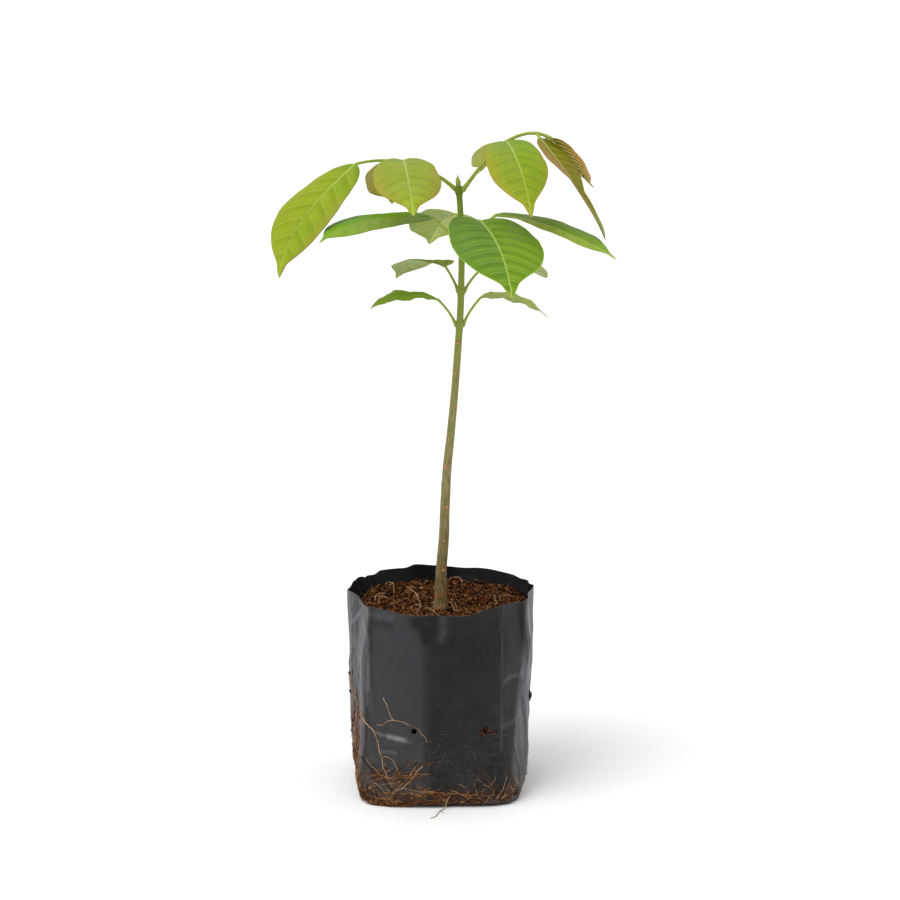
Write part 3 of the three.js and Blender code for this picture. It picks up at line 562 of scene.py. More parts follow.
class Nodes:
    """A node tree, built up node by node."""

    def __init__(self, tree):
        self.tree = tree

    def put(self, kind, inputs=None, output=0, **settings):
        """Adds a node, its inputs set to numbers or linked. Gives one of its outputs."""
        node = self.tree.nodes.new(kind)
        for key, value in settings.items():
            setattr(node, key, value)
        for key, value in (inputs or {}).items():
            if isinstance(value, bpy.types.NodeSocket):
                self.tree.links.new(value, node.inputs[key])
            else:
                node.inputs[key].default_value = value
        return node.outputs[output]

    def number(self, operation, a, b=0.0, c=0.0):
        return self.put("ShaderNodeMath", {0: a, 1: b, 2: c}, operation=operation)

    def times(self, first, *others):
        """The product of two or more numbers."""
        for other in others:
            first = self.number("MULTIPLY", first, other)
        return first

    def plus(self, a, b):
        return self.number("ADD", a, b)

    def away(self, a, b):
        """How far apart two numbers are."""
        return self.number("ABSOLUTE", self.number("SUBTRACT", a, b))

    def split(self, vector):
        node = self.tree.nodes.new("ShaderNodeSeparateXYZ")
        self.tree.links.new(vector, node.inputs[0])
        return node.outputs[0], node.outputs[1], node.outputs[2]


class Paint(Nodes):
    """One procedural material. Its colour so far is kept, and each tint goes over it."""

    def __init__(self, name, colour, roughness=0.5, specular=0.5):
        self.made = bpy.data.materials.new(name)
        self.made.use_nodes = True
        super().__init__(self.made.node_tree)
        self.shader = self.tree.nodes["Principled BSDF"]
        self.shader.inputs["Roughness"].default_value = roughness
        self.shader.inputs["Specular IOR Level"].default_value = specular
        self.colour = hue(colour)
        self.at = self.place()

    def step(self, value, low, high, start=0.0, end=1.0):
        """A soft step from start, where the value is low, to end, where it is high."""
        inputs = {"Value": value, "From Min": low, "From Max": high, "To Min": start, "To Max": end}
        return self.put("ShaderNodeMapRange", inputs, interpolation_type="SMOOTHSTEP")

    def tint(self, share, colour, kind="MIX"):
        """Lays a colour over what is there, as strongly as share says."""
        over = hue(colour) if isinstance(colour, str) else colour
        inputs = {0: share, 6: self.colour, 7: over}
        self.colour = self.put("ShaderNodeMix", inputs, 2, data_type="RGBA", blend_type=kind)

    def place(self, stretch=(1, 1, 1)):
        """The point on the object, in millimetres, stretched along each axis."""
        at = self.put("ShaderNodeTexCoord", output="Object")
        scale = tuple(1000 * s for s in stretch)
        return self.put("ShaderNodeVectorMath", {0: at, 1: scale}, operation="MULTIPLY")

    def flat(self, name):
        """The two numbers that the mesh's flat map of that name holds."""
        return self.split(self.put("ShaderNodeUVMap", uv_map=name))[:2]

    def noise(self, vector, size, detail=2.0, rough=0.5, distortion=0.0):
        inputs = {
            "Vector": vector, "Scale": 1 / size, "Detail": detail,
            "Roughness": rough, "Distortion": distortion,
        }
        return self.put("ShaderNodeTexNoise", inputs)

    def cells(self, vector, size, feature="F1"):
        inputs = {"Vector": vector, "Scale": 1 / size}
        return self.put("ShaderNodeTexVoronoi", inputs, "Distance", feature=feature)

    def finish(self, height=None, distance=0.0, strength=1.0, roughness=None):
        """Joins the colour, the roughness and a bump of that height to the shader."""
        ends = {"Base Color": self.colour, "Roughness": roughness}
        if height is not None:
            bump = {"Height": height, "Distance": distance * MM, "Strength": strength}
            ends["Normal"] = self.put("ShaderNodeBump", bump)
        for key, end in ends.items():
            if end is not None:
                self.tree.links.new(end, self.shader.inputs[key])
        return self.made


def tint_blade(paint, look, under, x, t):
    """A blade's colours: patches, halves (on two leaves as painted light), base, tip, heart and edges.
    """
    patches = paint.step(paint.noise(paint.at, 14, 3, 0.55), 0.38, 0.66, 0, look["patches"])
    paint.tint(patches, look["under"] if under else look["patch"])
    amount = 0.6 if under else 0.85
    for code, low, high in ((look["left"], 0.46, 0.6), (look["right"], 0.54, 0.4)):
        if code:
            paint.tint(paint.step(x, low, high, 0, amount), code)
    if look["base"]:
        paint.tint(paint.step(t, 0.28, 0.0, 0, amount * 0.7), look["base"])
    if look["tip"]:
        paint.tint(paint.step(t, 0.6, 1.0, 0, amount * 0.8), look["tip"])
    if look["heart"]:
        paint.tint(paint.step(paint.away(x, 0.5), 0.3, 0.08), look["heart"])
    if look["edge"]:
        code, left_share, right_share = look["edge"]
        lower = paint.step(t, 0.1, 0.4)
        for low, high, share in ((0.72, 0.98, left_share), (0.28, 0.02, right_share)):
            paint.tint(paint.times(paint.step(x, low, high, 0, share), lower), code)


def draw_veins(paint, look, under, x, w, s):
    """Side veins with painted shade and highlight on their flanks, and a fine net. Gives the vein and
    net lines.
    """
    out = paint.number("ABSOLUTE", w)
    run = paint.number("SUBTRACT", s, paint.times(out, look["lean"]))
    run = paint.number("SUBTRACT", run, paint.times(out, out, look["curve"]))
    side = paint.number("GREATER_THAN", w, 0.0)
    phase = paint.plus(paint.number("DIVIDE", run, look["spacing"]), paint.times(side, VEIN_SHIFT))
    turn = paint.number("FRACT", paint.plus(phase, 10.5))
    gap = paint.times(paint.away(turn, 0.5), look["spacing"])
    line = paint.step(gap, look["line"], 0.2 * look["line"])
    reach = paint.step(paint.away(x, 0.5), 0.5, 0.3, 0.25, 1.0)
    # Painted shade: a darker band on one flank of each side vein, for the shade of the puffed blade
    dark = paint.times(paint.step(turn, 0.5, 0.72), paint.step(turn, 1.0, 0.78))
    paint.tint(paint.times(dark, reach, look["shade"]), "#2c4410")
    # Painted highlight: a paler band on the other flank, for light on the puffed blade
    pale = paint.times(paint.step(turn, 0.02, 0.16), paint.step(turn, 0.5, 0.2))
    paint.tint(paint.times(pale, reach, look["shade"] * 0.6), look["midrib"])
    strength = look["under_veins"] if under else look["veins"]
    paint.tint(paint.times(line, reach, strength), look["under_vein"] if under else look["vein"])
    cells = paint.cells(paint.put("ShaderNodeCombineXYZ", {0: w, 1: s}), 2.6, "DISTANCE_TO_EDGE")
    net = paint.step(cells, 0.1, 0.02)
    paint.tint(paint.times(net, 0.14), look["vein"])
    return line, net


def leaf_paint(name, look, under):
    """A blade's upper or lower face: tinted halves, side veins with painted shade and highlight, midrib,
    margin and mottling.
    """
    title = name + ("_under" if under else "_top")
    gloss = look["gloss"] + (0.12 if under else 0.0)
    paint = Paint(title, look["under"] if under else look["body"], gloss, 0.07)
    x, t = paint.flat("blade")
    w, s = (paint.times(share, 100) for share in paint.flat("size"))
    out = paint.number("ABSOLUTE", w)
    tint_blade(paint, look, under, x, t)
    line, net = draw_veins(paint, look, under, x, w, s)
    rib_width = paint.number("MULTIPLY_ADD", t, -0.75, 1.05)
    rib = paint.step(paint.number("SUBTRACT", out, rib_width), 0.25, -0.25, 0, 0.95)
    paint.tint(rib, look["under_vein"] if under else look["midrib"])
    half = paint.number("DIVIDE", 0.5, paint.away(x, 0.5))
    edge = paint.times(paint.number("SUBTRACT", half, 1.0), out)
    paint.tint(paint.step(edge, 0.85, 0.2, 0, look["rim_amount"]), look["rim"])
    fine = paint.noise(paint.at, 1.6, 3, 0.6)
    shade = paint.step(fine, 0.2, 0.8, 0.9, 1.08)
    grey = paint.put("ShaderNodeCombineColor", {0: shade, 1: shade, 2: shade})
    paint.tint(1.0, grey, "MULTIPLY")
    height = paint.plus(paint.times(line, -0.4), paint.times(net, -0.18))
    height = paint.number("MULTIPLY_ADD", fine, 0.25, height)
    satin = paint.step(paint.noise(paint.at, 9, 2), 0.3, 0.7, look["gloss"] - 0.05, look["gloss"] + 0.1)
    return paint.finish(height, 0.25, 0.5, satin)


def stalk_paint(name, low, high, top):
    """A smooth green stalk, its colour changing from foot to top height, with faint streaks."""
    paint = Paint(name, low, 0.42, 0.14)
    z = paint.split(paint.at)[2]
    paint.tint(paint.step(z, top - 45, top), high)
    streak = paint.noise(paint.place((1, 1, 0.25)), 1.4, 3, 0.6)
    paint.tint(paint.step(streak, 0.35, 0.7, 0, 0.35), "#5f7a22")
    return paint.finish(streak, 0.12, 0.5, paint.step(streak, 0.3, 0.7, 0.36, 0.5))


def stem_paint():
    """Green young bark that turns olive-brown downwards, with scars, pores and fine cracks."""
    paint = Paint("stem_bark", "#6b5a38", 0.55, 0.16)
    z = paint.split(paint.at)[2]
    wander = paint.number("MULTIPLY_ADD", paint.noise(paint.at, 16, 3), 46, -23)
    level = paint.plus(z, wander)
    bands = (
        (160, 225, "#7c7046"), (225, 310, "#82804a"), (320, 385, "#848f38"),
        (395, 450, "#768b28"), (455, 486, "#5f7518"),
    )
    for low, high, code in bands:
        paint.tint(paint.step(level, low, high), code)
    streak = paint.noise(paint.place((1, 1, 0.16)), 1.5, 4, 0.65)
    lower = paint.step(z, 420, 260, 0.12, 0.6)
    paint.tint(paint.times(paint.step(streak, 0.42, 0.72), lower), "#a29a72")
    dark = paint.noise(paint.place((1, 1, 0.3)), 2.6, 3, 0.6)
    paint.tint(paint.times(paint.step(dark, 0.52, 0.75), lower), "#453b20")
    rust = paint.step(paint.noise(paint.at, 5, 2), 0.48, 0.66)
    paint.tint(paint.times(rust, paint.step(z, 188, 150, 0, 0.75)), "#a06236")
    pores = paint.step(paint.cells(paint.place((1, 1, 0.6)), 3.4), 0.16, 0.06)
    paint.tint(paint.times(pores, paint.step(z, 430, 330, 0.15, 0.55)), "#b8aa84")
    scar, rim = paint.flat("scar")
    paint.tint(paint.times(rim, 0.85), "#9a5a30")
    paint.tint(paint.times(scar, 0.9), "#bd9468")
    height = paint.plus(paint.times(streak, lower), paint.times(pores, 0.5))
    return paint.finish(height, 0.35, 0.8, paint.step(level, 200, 460, 0.72, 0.45))


def bud_paint():
    """Dull green scales, brown at the point, with faint streaks."""
    paint = Paint("bud_scales", "#8a9640", 0.5, 0.4)
    z = paint.split(paint.at)[2]
    paint.tint(paint.step(z, 487, 497), "#a8a458")
    streak = paint.noise(paint.place((1, 1, 0.25)), 0.9, 3, 0.6)
    paint.tint(paint.step(streak, 0.4, 0.7, 0, 0.6), "#7c8436")
    paint.tint(paint.step(z, 494.5, 498, 0, 0.7), "#8a6a3c")
    return paint.finish(streak, 0.15, 0.7)


def dirty_film(paint, x, z):
    """Dust, rust and specks of coir low on the film, with painted shade at its very foot. Gives how
    dusty it is, and the specks.
    """
    haze = paint.noise(paint.at, 7, 5, 0.7)
    dusty = paint.times(paint.step(haze, 0.42, 0.75), paint.times(paint.step(z, 100, 8), 0.22))
    paint.tint(dusty, "#5b5046")
    foot = paint.times(paint.step(haze, 0.38, 0.64), paint.step(z, 18, 5, 0, 0.55))
    paint.tint(foot, "#4a3322")
    # Painted shade: the film's lowest few millimetres turn near black, for the shadow under the bag's
    # foot
    paint.tint(paint.step(z, 4.5, 1.5, 0, 0.9), "#0b0806")
    rust = paint.times(paint.step(x, -60, -68), paint.step(z, 86, 50))
    paint.tint(paint.times(rust, paint.step(haze, 0.36, 0.6), 0.55), "#6b452a")
    fleck = paint.step(paint.cells(paint.at, 2.6), 0.17, 0.08)
    fleck = paint.times(fleck, paint.step(paint.noise(paint.at, 11, 3), 0.42, 0.6))
    fleck = paint.times(fleck, paint.step(z, 96, 45, 0.04, 0.75))
    paint.tint(fleck, "#8a643c")
    powder = paint.step(paint.cells(paint.at, 1.35), 0.26, 0.12)
    powder = paint.times(powder, paint.step(paint.noise(paint.at, 13, 3), 0.4, 0.58))
    paint.tint(paint.times(powder, paint.step(z, 115, 50, 0.05, 0.55)), "#8f775a")
    return paint.plus(dusty, foot), fleck


def film_paint():
    """Black polythene film: satin, scuffed, dusty low down, with painted light on facets, gusset strips,
    creases, dents and foot.
    """
    paint = Paint("bag_film", "#0e0f11", 0.44, 0.22)
    x, y, z = paint.split(paint.at)
    heading = paint.number("DEGREES", paint.number("ARCTAN2", y, x))
    paint.tint(paint.step(paint.noise(paint.at, 26, 4, 0.6), 0.3, 0.72), "#18191c")
    # Painted light: facets round the bag are painted lighter or darker for how each faces the lamps
    painted_facet_light = (
        (-137, -100, "#333538", 0.78), (-50, -31, "#1b1d20", 0.5),
        (20, 80, "#2a2c2f", 0.6), (110, 150, "#2e3033", 0.6),
    )
    soft = 5
    for low, high, code, amount in painted_facet_light:
        rise = paint.step(heading, low - soft, low + soft)
        fall = paint.step(heading, high + soft, high - soft)
        paint.tint(paint.times(rise, fall, amount), code)
    # Painted sheen: the gusset strips at the sides are painted paler, for reflections on the outside of
    # the film
    outside = paint.flat("outside")[0]
    left_strip = paint.times(paint.step(x, -54, -60, 0, 0.56), paint.step(z, 30, 110, 0.25, 1.0))
    right_strip = paint.step(paint.number("MULTIPLY_ADD", z, -0.09, x), 51.5, 56, 0, 1.0)
    strips = paint.times(paint.plus(left_strip, right_strip), outside)
    grain = paint.noise(paint.place((1, 1, 0.12)), 3.5, 4, 0.7)
    folds = paint.noise(paint.place((1, 1, 0.13)), 8, 4, 0.6, 0.8)
    painted_sheen = paint.number("MULTIPLY_ADD", folds, 0.6, paint.times(grain, 0.4))
    painted_sheen = paint.times(paint.step(painted_sheen, 0.3, 0.7), strips, paint.step(z, 20, 90, 0.6, 1.0))
    paint.tint(painted_sheen, "#76797d")
    # Painted shade in dents, creases and wrinkles, and pale marks that are partly real scuffs and partly
    # painted highlights along creases
    pale, dark = paint.flat("marks")
    streak = paint.step(paint.noise(paint.place((1, 1, 0.4)), 2.2, 4, 0.7), 0.25, 0.6, 0.35, 1.0)
    paint.tint(dark, "#07080b")
    paint.tint(paint.times(pale, streak), "#83858a")
    dust, fleck = dirty_film(paint, x, z)
    wrinkle = paint.noise(paint.at, 9, 4, 0.6, 0.6)
    height = paint.number("MULTIPLY_ADD", paint.times(grain, strips), 0.8, wrinkle)
    height = paint.plus(height, paint.times(fleck, 0.6))
    return paint.finish(height, 0.5, 0.6, paint.step(dust, 0.0, 0.6, 0.42, 0.85))


def fibre_paint(name, dark, light, size=3.0):
    """Coir or root fibre: brown with lighter and darker stretches."""
    paint = Paint(name, dark, 0.8, 0.08)
    paint.tint(paint.step(paint.noise(paint.at, size, 3, 0.65), 0.34, 0.68), light)
    return paint.finish(paint.noise(paint.at, 0.5, 2), 0.08, 0.4)


def root_paint():
    """Exposed root: tan with brown stretches and a woody grain."""
    paint = Paint("root_skin", "#7f5b3c", 0.7, 0.15)
    paint.tint(paint.step(paint.noise(paint.at, 5, 4, 0.65), 0.34, 0.6), "#a58a6a")
    grain = paint.noise(paint.at, 0.9, 3, 0.6)
    paint.tint(paint.step(grain, 0.5, 0.8, 0, 0.5), "#c4ab88")
    return paint.finish(grain, 0.2, 0.7)


def floor_paint():
    """Matt white, hardly mottled."""
    paint = Paint("floor", "#f3f3f3", 0.9, 0.1)
    paint.tint(paint.noise(paint.at, 900, 2), "#f5f5f5")
    return paint.finish()


# Leaves

def blade_share(leaf, t, side):
    """Half the blade's width on one side, as a share of the widest, with its drip tip."""
    widest = leaf["widest"]
    low = np.clip((widest - t) / widest, 0, 1)
    high = np.clip((t - widest) / (1 - widest), 0, 1)
    base = (1 - low ** 2) ** leaf["round"]
    end, fine, drip, drip_length = leaf["tip"]
    full = leaf["full"][0 if side > 0 else 1]
    body = np.maximum(1 - (high / end) ** full, 0) ** fine
    tail = drip * (1 - np.exp((t - 1) / drip_length))
    return np.where(t < widest, base, np.cbrt(body ** 3 + tail ** 3))


def seat_of(leaf):
    """Where a stalk starts: on the stem's surface or on a rachis's middle line."""
    where, at = leaf["seat"]
    if where.startswith("rachis"):
        side = where.split("_")[1]
        steps = 80
        path = rachis_path(side, np.linspace(0, 1, steps + 1))
        return path["point"][int(round(at * steps))], rachis_radius(side, at)
    z = TIER[where] + at
    return tier_start(z, leaf["heading"]), stem_radius(z)


def vein_cell(look, w, s, side):
    """Where each point lies between two side veins, from 0 to 1."""
    run = s - look["lean"] * w - look["curve"] * w ** 2
    return (run / look["spacing"] + (VEIN_SHIFT if side > 0 else 0.0)) % 1


def rolled(leaf, path):
    """Which ways across the blade and up from it are, where it rolls about its midrib."""
    roll = np.radians(mix(*leaf["roll"], path["t"]))[:, None]
    across = path["left"] * np.cos(roll) + path["above"] * np.sin(roll)
    return across, path["above"] * np.cos(roll) - path["left"] * np.sin(roll)


def blade_half(leaf, look, path, side, columns):
    """One half of the blade's middle surface out from the midrib: points, normals and maps."""
    t = path["t"]
    across, up = rolled(leaf, path)
    least = mix(LEAF["base_half"], LEAF["tip_half"], smooth_step(t * 4) * 0.5 + t * 0.5)
    half = np.maximum(leaf["width"] / 2 * blade_share(leaf, t, side), least) * (1 + side * leaf["skew"])
    half = half + look["tail"] * hump(t - LEAF["tail_at"], LEAF["tail_length"])
    fold = mix(leaf["fold"][1], leaf["fold"][0], (1 - t) ** 3)
    out = (np.arange(columns + 1) / columns) ** 1.25
    position = path["point"].copy()
    points, normals, shares = [position.copy()], [up.copy()], [0 * t]
    for k in range(columns):
        middle = (out[k] + out[k + 1]) / 2
        tilt = np.radians(fold - leaf["curl"] * middle)[:, None]
        stride = (half * (out[k + 1] - out[k]))[:, None]
        position = position + (across * side * np.cos(tilt) + up * np.sin(tilt)) * stride
        points.append(position.copy())
        normals.append(up * np.cos(tilt) - across * side * np.sin(tilt))
        shares.append(0 * t + out[k + 1])
    points, normals, c = np.array(points), np.array(normals), np.array(shares)
    w = c * half
    s = np.broadcast_to(t * leaf["length"], w.shape)
    return points, normals, c, w, np.array(s), blade_lift(leaf, look, t, c, w, s, half, side)


def blade_lift(leaf, look, t, c, w, s, half, side):
    """How far the blade stands off its smooth surface: puffed cells and a rippled margin."""
    cell = vein_cell(look, w, s, side)
    fullness = smooth_step(half / (leaf["width"] * 0.3))
    puff = look["puff"] * np.sin(np.pi * cell) ** 0.8
    puff = puff * np.sin(np.pi * np.clip(c, 0, 1)) ** 0.6 * fullness
    most, waves, start = look["wave"]
    turn = 2 * np.pi * (waves * t + start + 0.31 * side)
    ripple = most * c ** 2.2 * np.sin(turn) * np.sin(np.pi * t) ** 0.5
    turn = 2 * np.pi * (waves * 2.7 * t + start * 3 + 0.2 * side)
    small = 0.2 * most * c ** 3 * np.sin(turn) * fullness
    return puff + ripple + small


def make_blade(shape, leaf, look, path, columns):
    """The blade's thin solid, with puffed cells between sunken veins and a rippled margin."""
    left = blade_half(leaf, look, path, 1, columns)
    right = blade_half(leaf, look, path, -1, columns)

    def across(i, sign=1.0):
        return np.concatenate([left[i][::-1], sign * right[i][1:]], axis=0).swapaxes(0, 1)

    points, normals = across(0), across(1)
    c, w, s, lift = across(2), across(3, -1.0), across(4), across(5)
    taper = mix(LEAF["thickness"], LEAF["edge_thickness"], c ** 4)[..., None] / 2
    fade = (1 - smooth_step((path["t"] - 0.55) / 0.45))[:, None]
    groove = LEAF["groove"] * hump(w, LEAF["groove_width"]) * fade
    keel = LEAF["keel"] * groove
    top = points + normals * (taper + (lift - groove)[..., None])
    bottom = points + normals * (-taper + (lift - keel)[..., None])
    rows, wide = c.shape
    signed = np.concatenate([c[:, :columns], -c[:, columns:]], axis=1)
    maps = {"blade": pairs(signed * 0.5 + 0.5, path["t"][:, None]), "size": pairs(w / 100, s / 100)}
    first, under = shape.count, rows * wide
    shape.add(top, [grid_faces(rows, wide)], 0, **maps)
    shape.add(bottom, [grid_faces(rows, wide, flip=True)], 1, **maps)
    index = first + np.arange(under).reshape(rows, wide)
    border = np.concatenate([index[0], index[1:, -1], index[-1, -2::-1], index[-2:0:-1, 0]])
    after = np.roll(border, -1)
    shape.stitch(np.stack([border, border + under, after + under, after], -1))


def make_stalk(shape, leaf, stalk, path, radius, carrier):
    """The stalk from its swollen foot, running on as the midrib sunk in the blade."""
    run = stalk["t"] * leaf["stalk"]
    most = 0.9 * carrier
    foot = min(radius + LEAF["stalk_swell"], most)
    width = mix(radius, foot, np.exp(-run / LEAF["swell_length"])) + 0.2 * np.exp(-run / 1.3)
    width = width * (1 + 0.12 * hump(run - leaf["stalk"], 2.5))
    keep = path["t"] > 0.012
    u = path["t"][keep]
    rib = mix(radius * 0.8, 0.12, np.clip(u / 0.94, 0, 1) ** 0.8)
    up = rolled(leaf, path)[1][keep]
    rise = mix(LEAF["rib_rise"], 0.18, u)
    centre = path["point"][keep] + up * (rise - rib)[:, None]
    sunk = min(2.6, most) * np.array([[1.0], [0.7], [0.35]])
    root = stalk["point"][:1] - stalk["along"][:1] * sunk
    points = np.concatenate([root, stalk["point"], centre])[None]
    radii = np.concatenate([width[0] * np.array(SUNK_ENDS), width, rib])[None]
    shape.add(*tubes(points, radii, LEAF["stalk_sides"], stalk["left"][0]), 2)


def make_leaf(name):
    """One leaf or leaflet: its stalk and its blade, bent as the tables say."""
    leaf = {**PLAIN_LEAF, **LEAVES[name]}
    look = {**PLAIN_LOOK, **LOOKS[name]}
    small = leaf["length"] < LEAF["small_length"]
    rows = LEAF["small_rows"] if small else LEAF["rows"]
    columns = LEAF["small_columns"] if small else LEAF["columns"]
    start, carrier = seat_of(leaf)
    seat = leaf["seat"][0]
    slim = small or seat.startswith("rachis")
    radius = LEAF["small_stalk_radius"] if slim else LEAF["stalk_radius"]
    swung = leaf["heading"] + leaf["bend"]
    even = np.linspace(0, 1, LEAF["stalk_stations"])
    stalk = walk(start, leaf["stalk"], (leaf["heading"], swung), leaf["rise"], 1, even)
    even = np.linspace(0, 1, rows)
    stops = 0.35 * even + 0.65 * (1 - np.cos(np.pi * even)) / 2
    heading = (swung, swung + leaf["turn"])
    path = walk(stalk["point"][-1], leaf["length"], heading, leaf["pitch"], leaf["ease"], stops)
    slip = look["rib"] * leaf["width"] / 2 * blade_share(leaf, stops, 1)
    path["point"] = path["point"] + rolled(leaf, path)[0] * slip[:, None]
    leaf["skew"] = leaf["skew"] - look["rib"]
    shape = Shape()
    make_blade(shape, leaf, look, path, columns)
    make_stalk(shape, leaf, stalk, path, radius, carrier)
    stalk_colours = ("#7d9234", "#9db04e") if seat in ("low", "bottom") else ("#7f8f25", "#a4b64e")
    materials = [
        leaf_paint(name, look, False),
        leaf_paint(name, look, True),
        stalk_paint(name + "_stalk", *stalk_colours, float(path["point"][0][2])),
    ]
    settle(shape.build(name + "_blade", materials, sharp=50), name)


# Stem, bud and rachises

# Leaf scars as (height, heading, size)
SCARS = [
    (463, 120, 0.8), (428, 60, 0.8), (363.6, 262, 1.0), (339.2, 256, 1.05), (311.8, 281, 1.05),
    (285.4, 249, 0.9), (262.8, 247, 1.15), (229.9, 291, 1.15), (202.3, 276, 0.9), (178.2, 293, 1.35),
    (168, 110, 1.2), (216, 75, 1.1), (248, 150, 1.0), (296, 100, 1.05), (328, 70, 1.0), (352, 130, 1.0),
]


def scar_at(heading, z):
    """How far each point lies inside a leaf scar, and on its raised rim."""
    inner = 0 * z
    rim = 0 * z
    for height, middle, size in SCARS:
        across = np.radians(turn_from(heading, middle)) * stem_radius(height)
        reach = np.hypot(across / (1.5 * size), (z - height - 0.25 * across ** 2) / (1.05 * size))
        inner = np.maximum(inner, smooth_step((0.85 - reach) / 0.35))
        rim = np.maximum(rim, hump(reach - 1.05, 0.28))
    return inner, rim


def make_stem():
    """The stem's bark, with lumps, scars and two slight bends."""
    sides, low_rings, high_rings, foot_top = 56, 39, 391, 160
    low = np.linspace(STEM["foot"] - 4, foot_top, low_rings + 1)[:-1]
    z = np.concatenate([low, np.linspace(foot_top, STEM["top"] + 0.3, high_rings)])
    zz, hh = np.meshgrid(z, headings_round(sides), indexing="ij")
    inner, rim = scar_at(hh, zz)
    radius = stem_radius(np.maximum(zz, STEM["foot"] - 1))
    flat = ring(hh, radius, zz * 0.14)
    lower = smooth_step((430 - zz) / 200)
    grain = noise_of(flat, 1.7) * mix(0.03, 0.13, lower)
    lumps = noise_of(flat * np.array([1, 1, 1.3]), 5.0, 3.0) * 0.16
    knots = noise_of(np.stack([0 * z, 0 * z, z], -1), 26.0, 1.0)[:, None] * 0.16
    relief = 0.1 + grain + lumps + knots + 0.4 * rim + 0.1 * inner
    relief = relief + 0.25 * hump(zz - TIER["right"], 4) * np.cos(np.radians(2 * hh))
    points = stem_point(zz) + direction(hh, 0) * (radius + relief)[..., None]
    points[..., 0] += 1.0 * hump(zz - 205, 22) - 0.6 * hump(zz - 265, 22)
    shape = Shape()
    shape.add(points, barrel_faces(len(z), sides), scar=pairs(inner, rim))
    settle(shape.build("stem_with_bark", [stem_paint()], sharp=70), "stem")


# The bud's girth as a share of its widest, at shares of its height
BUD_SWELL = [(0, 0.2, 0.42, 0.58, 0.72, 0.86, 1.0), (0.84, 0.94, 0.98, 0.86, 0.56, 0.24, 0.05)]


def make_bud():
    """Two closed scales that overlap into a slim point."""
    sides, rings = 32, 40
    u = np.linspace(0, 1, rings)
    swell = np.interp(u, *BUD_SWELL)
    uu, hh = np.meshgrid(u, headings_round(sides), indexing="ij")
    seam = hump(np.abs((hh + 20) % 180 - 90), 14)
    radius = BUD["radius"] * swell[:, None] * (1 - 0.16 * seam * np.sin(np.pi * np.clip(uu * 1.1, 0, 1)))
    radius = radius * (1 + 0.08 * np.cos(np.radians(2 * (hh + 20))))
    z = STEM["top"] - 0.6 + (BUD["height"] + 0.9) * uu
    points = stem_point(np.minimum(z, 496)) * np.array([1, 1, 0]) + ring(hh, radius, z)
    shape = Shape()
    shape.add(points, barrel_faces(rings, sides))
    settle(shape.build("bud_of_scales", [bud_paint()], sharp=60), "terminal_bud")


def add_spur(shape, path, radius):
    """The short spur under the right rachis, near its foot."""
    at = 18
    start = path["point"][at] - path["above"][at] * radius[at] * 0.6
    down = -path["above"][at] * 0.9 + path["along"][at] * 0.5
    line = start + np.linspace(0, 2.1, 7)[:, None] * unit(down)
    radii = np.array([[0.62, 0.5, 0.42, 0.36, 0.33, 0.3, 0.2]])
    shape.add(*tubes(line[None], radii, 8, path["left"][0]))


def make_rachis(side):
    """The arching stalk that carries one side's leaflets, swollen where each of them starts."""
    path = rachis_path(side, np.linspace(0, 1, 90))
    radius = rachis_radius(side, path["t"])
    for leaf in LEAVES.values():
        seat, at = leaf["seat"]
        if seat == "rachis_" + side and at < 1:
            radius = radius + 0.22 * hump((path["t"] - at) * RACHIS[side]["length"], 2.2)
    sunk = path["point"][:1] - path["along"][:1] * np.array([[2.4], [1.6], [0.8]])
    points = np.vstack([sunk, path["point"]])[None]
    radii = np.concatenate([radius[0] * np.array(SUNK_ENDS), radius])[None]
    shape = Shape()
    corners, faces = tubes(points, radii, 18, path["left"][0])
    shape.add(corners + noise_of(corners, 4.0, 2.0)[:, None] * 0.1, faces)
    if side == "right":
        add_spur(shape, path, radius)
    colours = ("#6f8422", "#8f9f35") if side == "left" else ("#7c9024", "#98a544")
    node = "rachis_" + side
    made = shape.build(node + "_stalk", [stalk_paint(node, *colours, 505)], sharp=60)
    settle(made, node)


# The nursery bag

# The rim as (heading, height)
RIM_HEIGHTS = [
    (0, 164.4), (12, 162), (27, 159.6), (49, 160.6), (60, 161), (78, 159.8), (93, 161.5), (107, 163),
    (114, 160.8), (131, 161.6), (136, 159.4), (143, 159.4), (158, 164), (165, 163), (169, 160.4),
    (178, 160.4), (184, 162.4), (192, 162.6), (197, 161.4), (201, 159.4), (205, 156.8), (222, 159.6),
    (232, 159), (246, 157.8), (267, 160), (287, 158.4), (303, 161.4), (311, 162), (331, 160.6),
    (349, 163),
]
# Pleats as (heading of the fold, width, depth), with a width under 0 where one falls the other way,
# creases as (heading, depth) and dents as (heading, height, half width, half height, depth)
PLEATS = [(219.5, 30, 2.4), (332, -22, 1.6), (141, -24, 1.8), (28, 22, 1.4)]
CREASES = [(257.6, 0.3), (309, 0.3), (232, 0.15), (285, 0.15), (75, 0.35), (118, 0.3), (50, 0.2)]
DENTS = [
    (262, 146, 8, 11, -1.8), (236, 130, 7, 10, -0.9), (300, 128, 9, 14, -0.8), (74, 140, 9, 9, -1.5),
]
# The film's mesh: its lowest ring's height, how wavy its lip is and how far down, and how far
# its flat underside lies inside that ring and its inner wall above it
FILM = {
    "sides": 400, "rows": 120, "foot": 1.8, "lip": 0.8, "lip_height": 2.0, "inset": 5.0, "lift": 0.8,
}
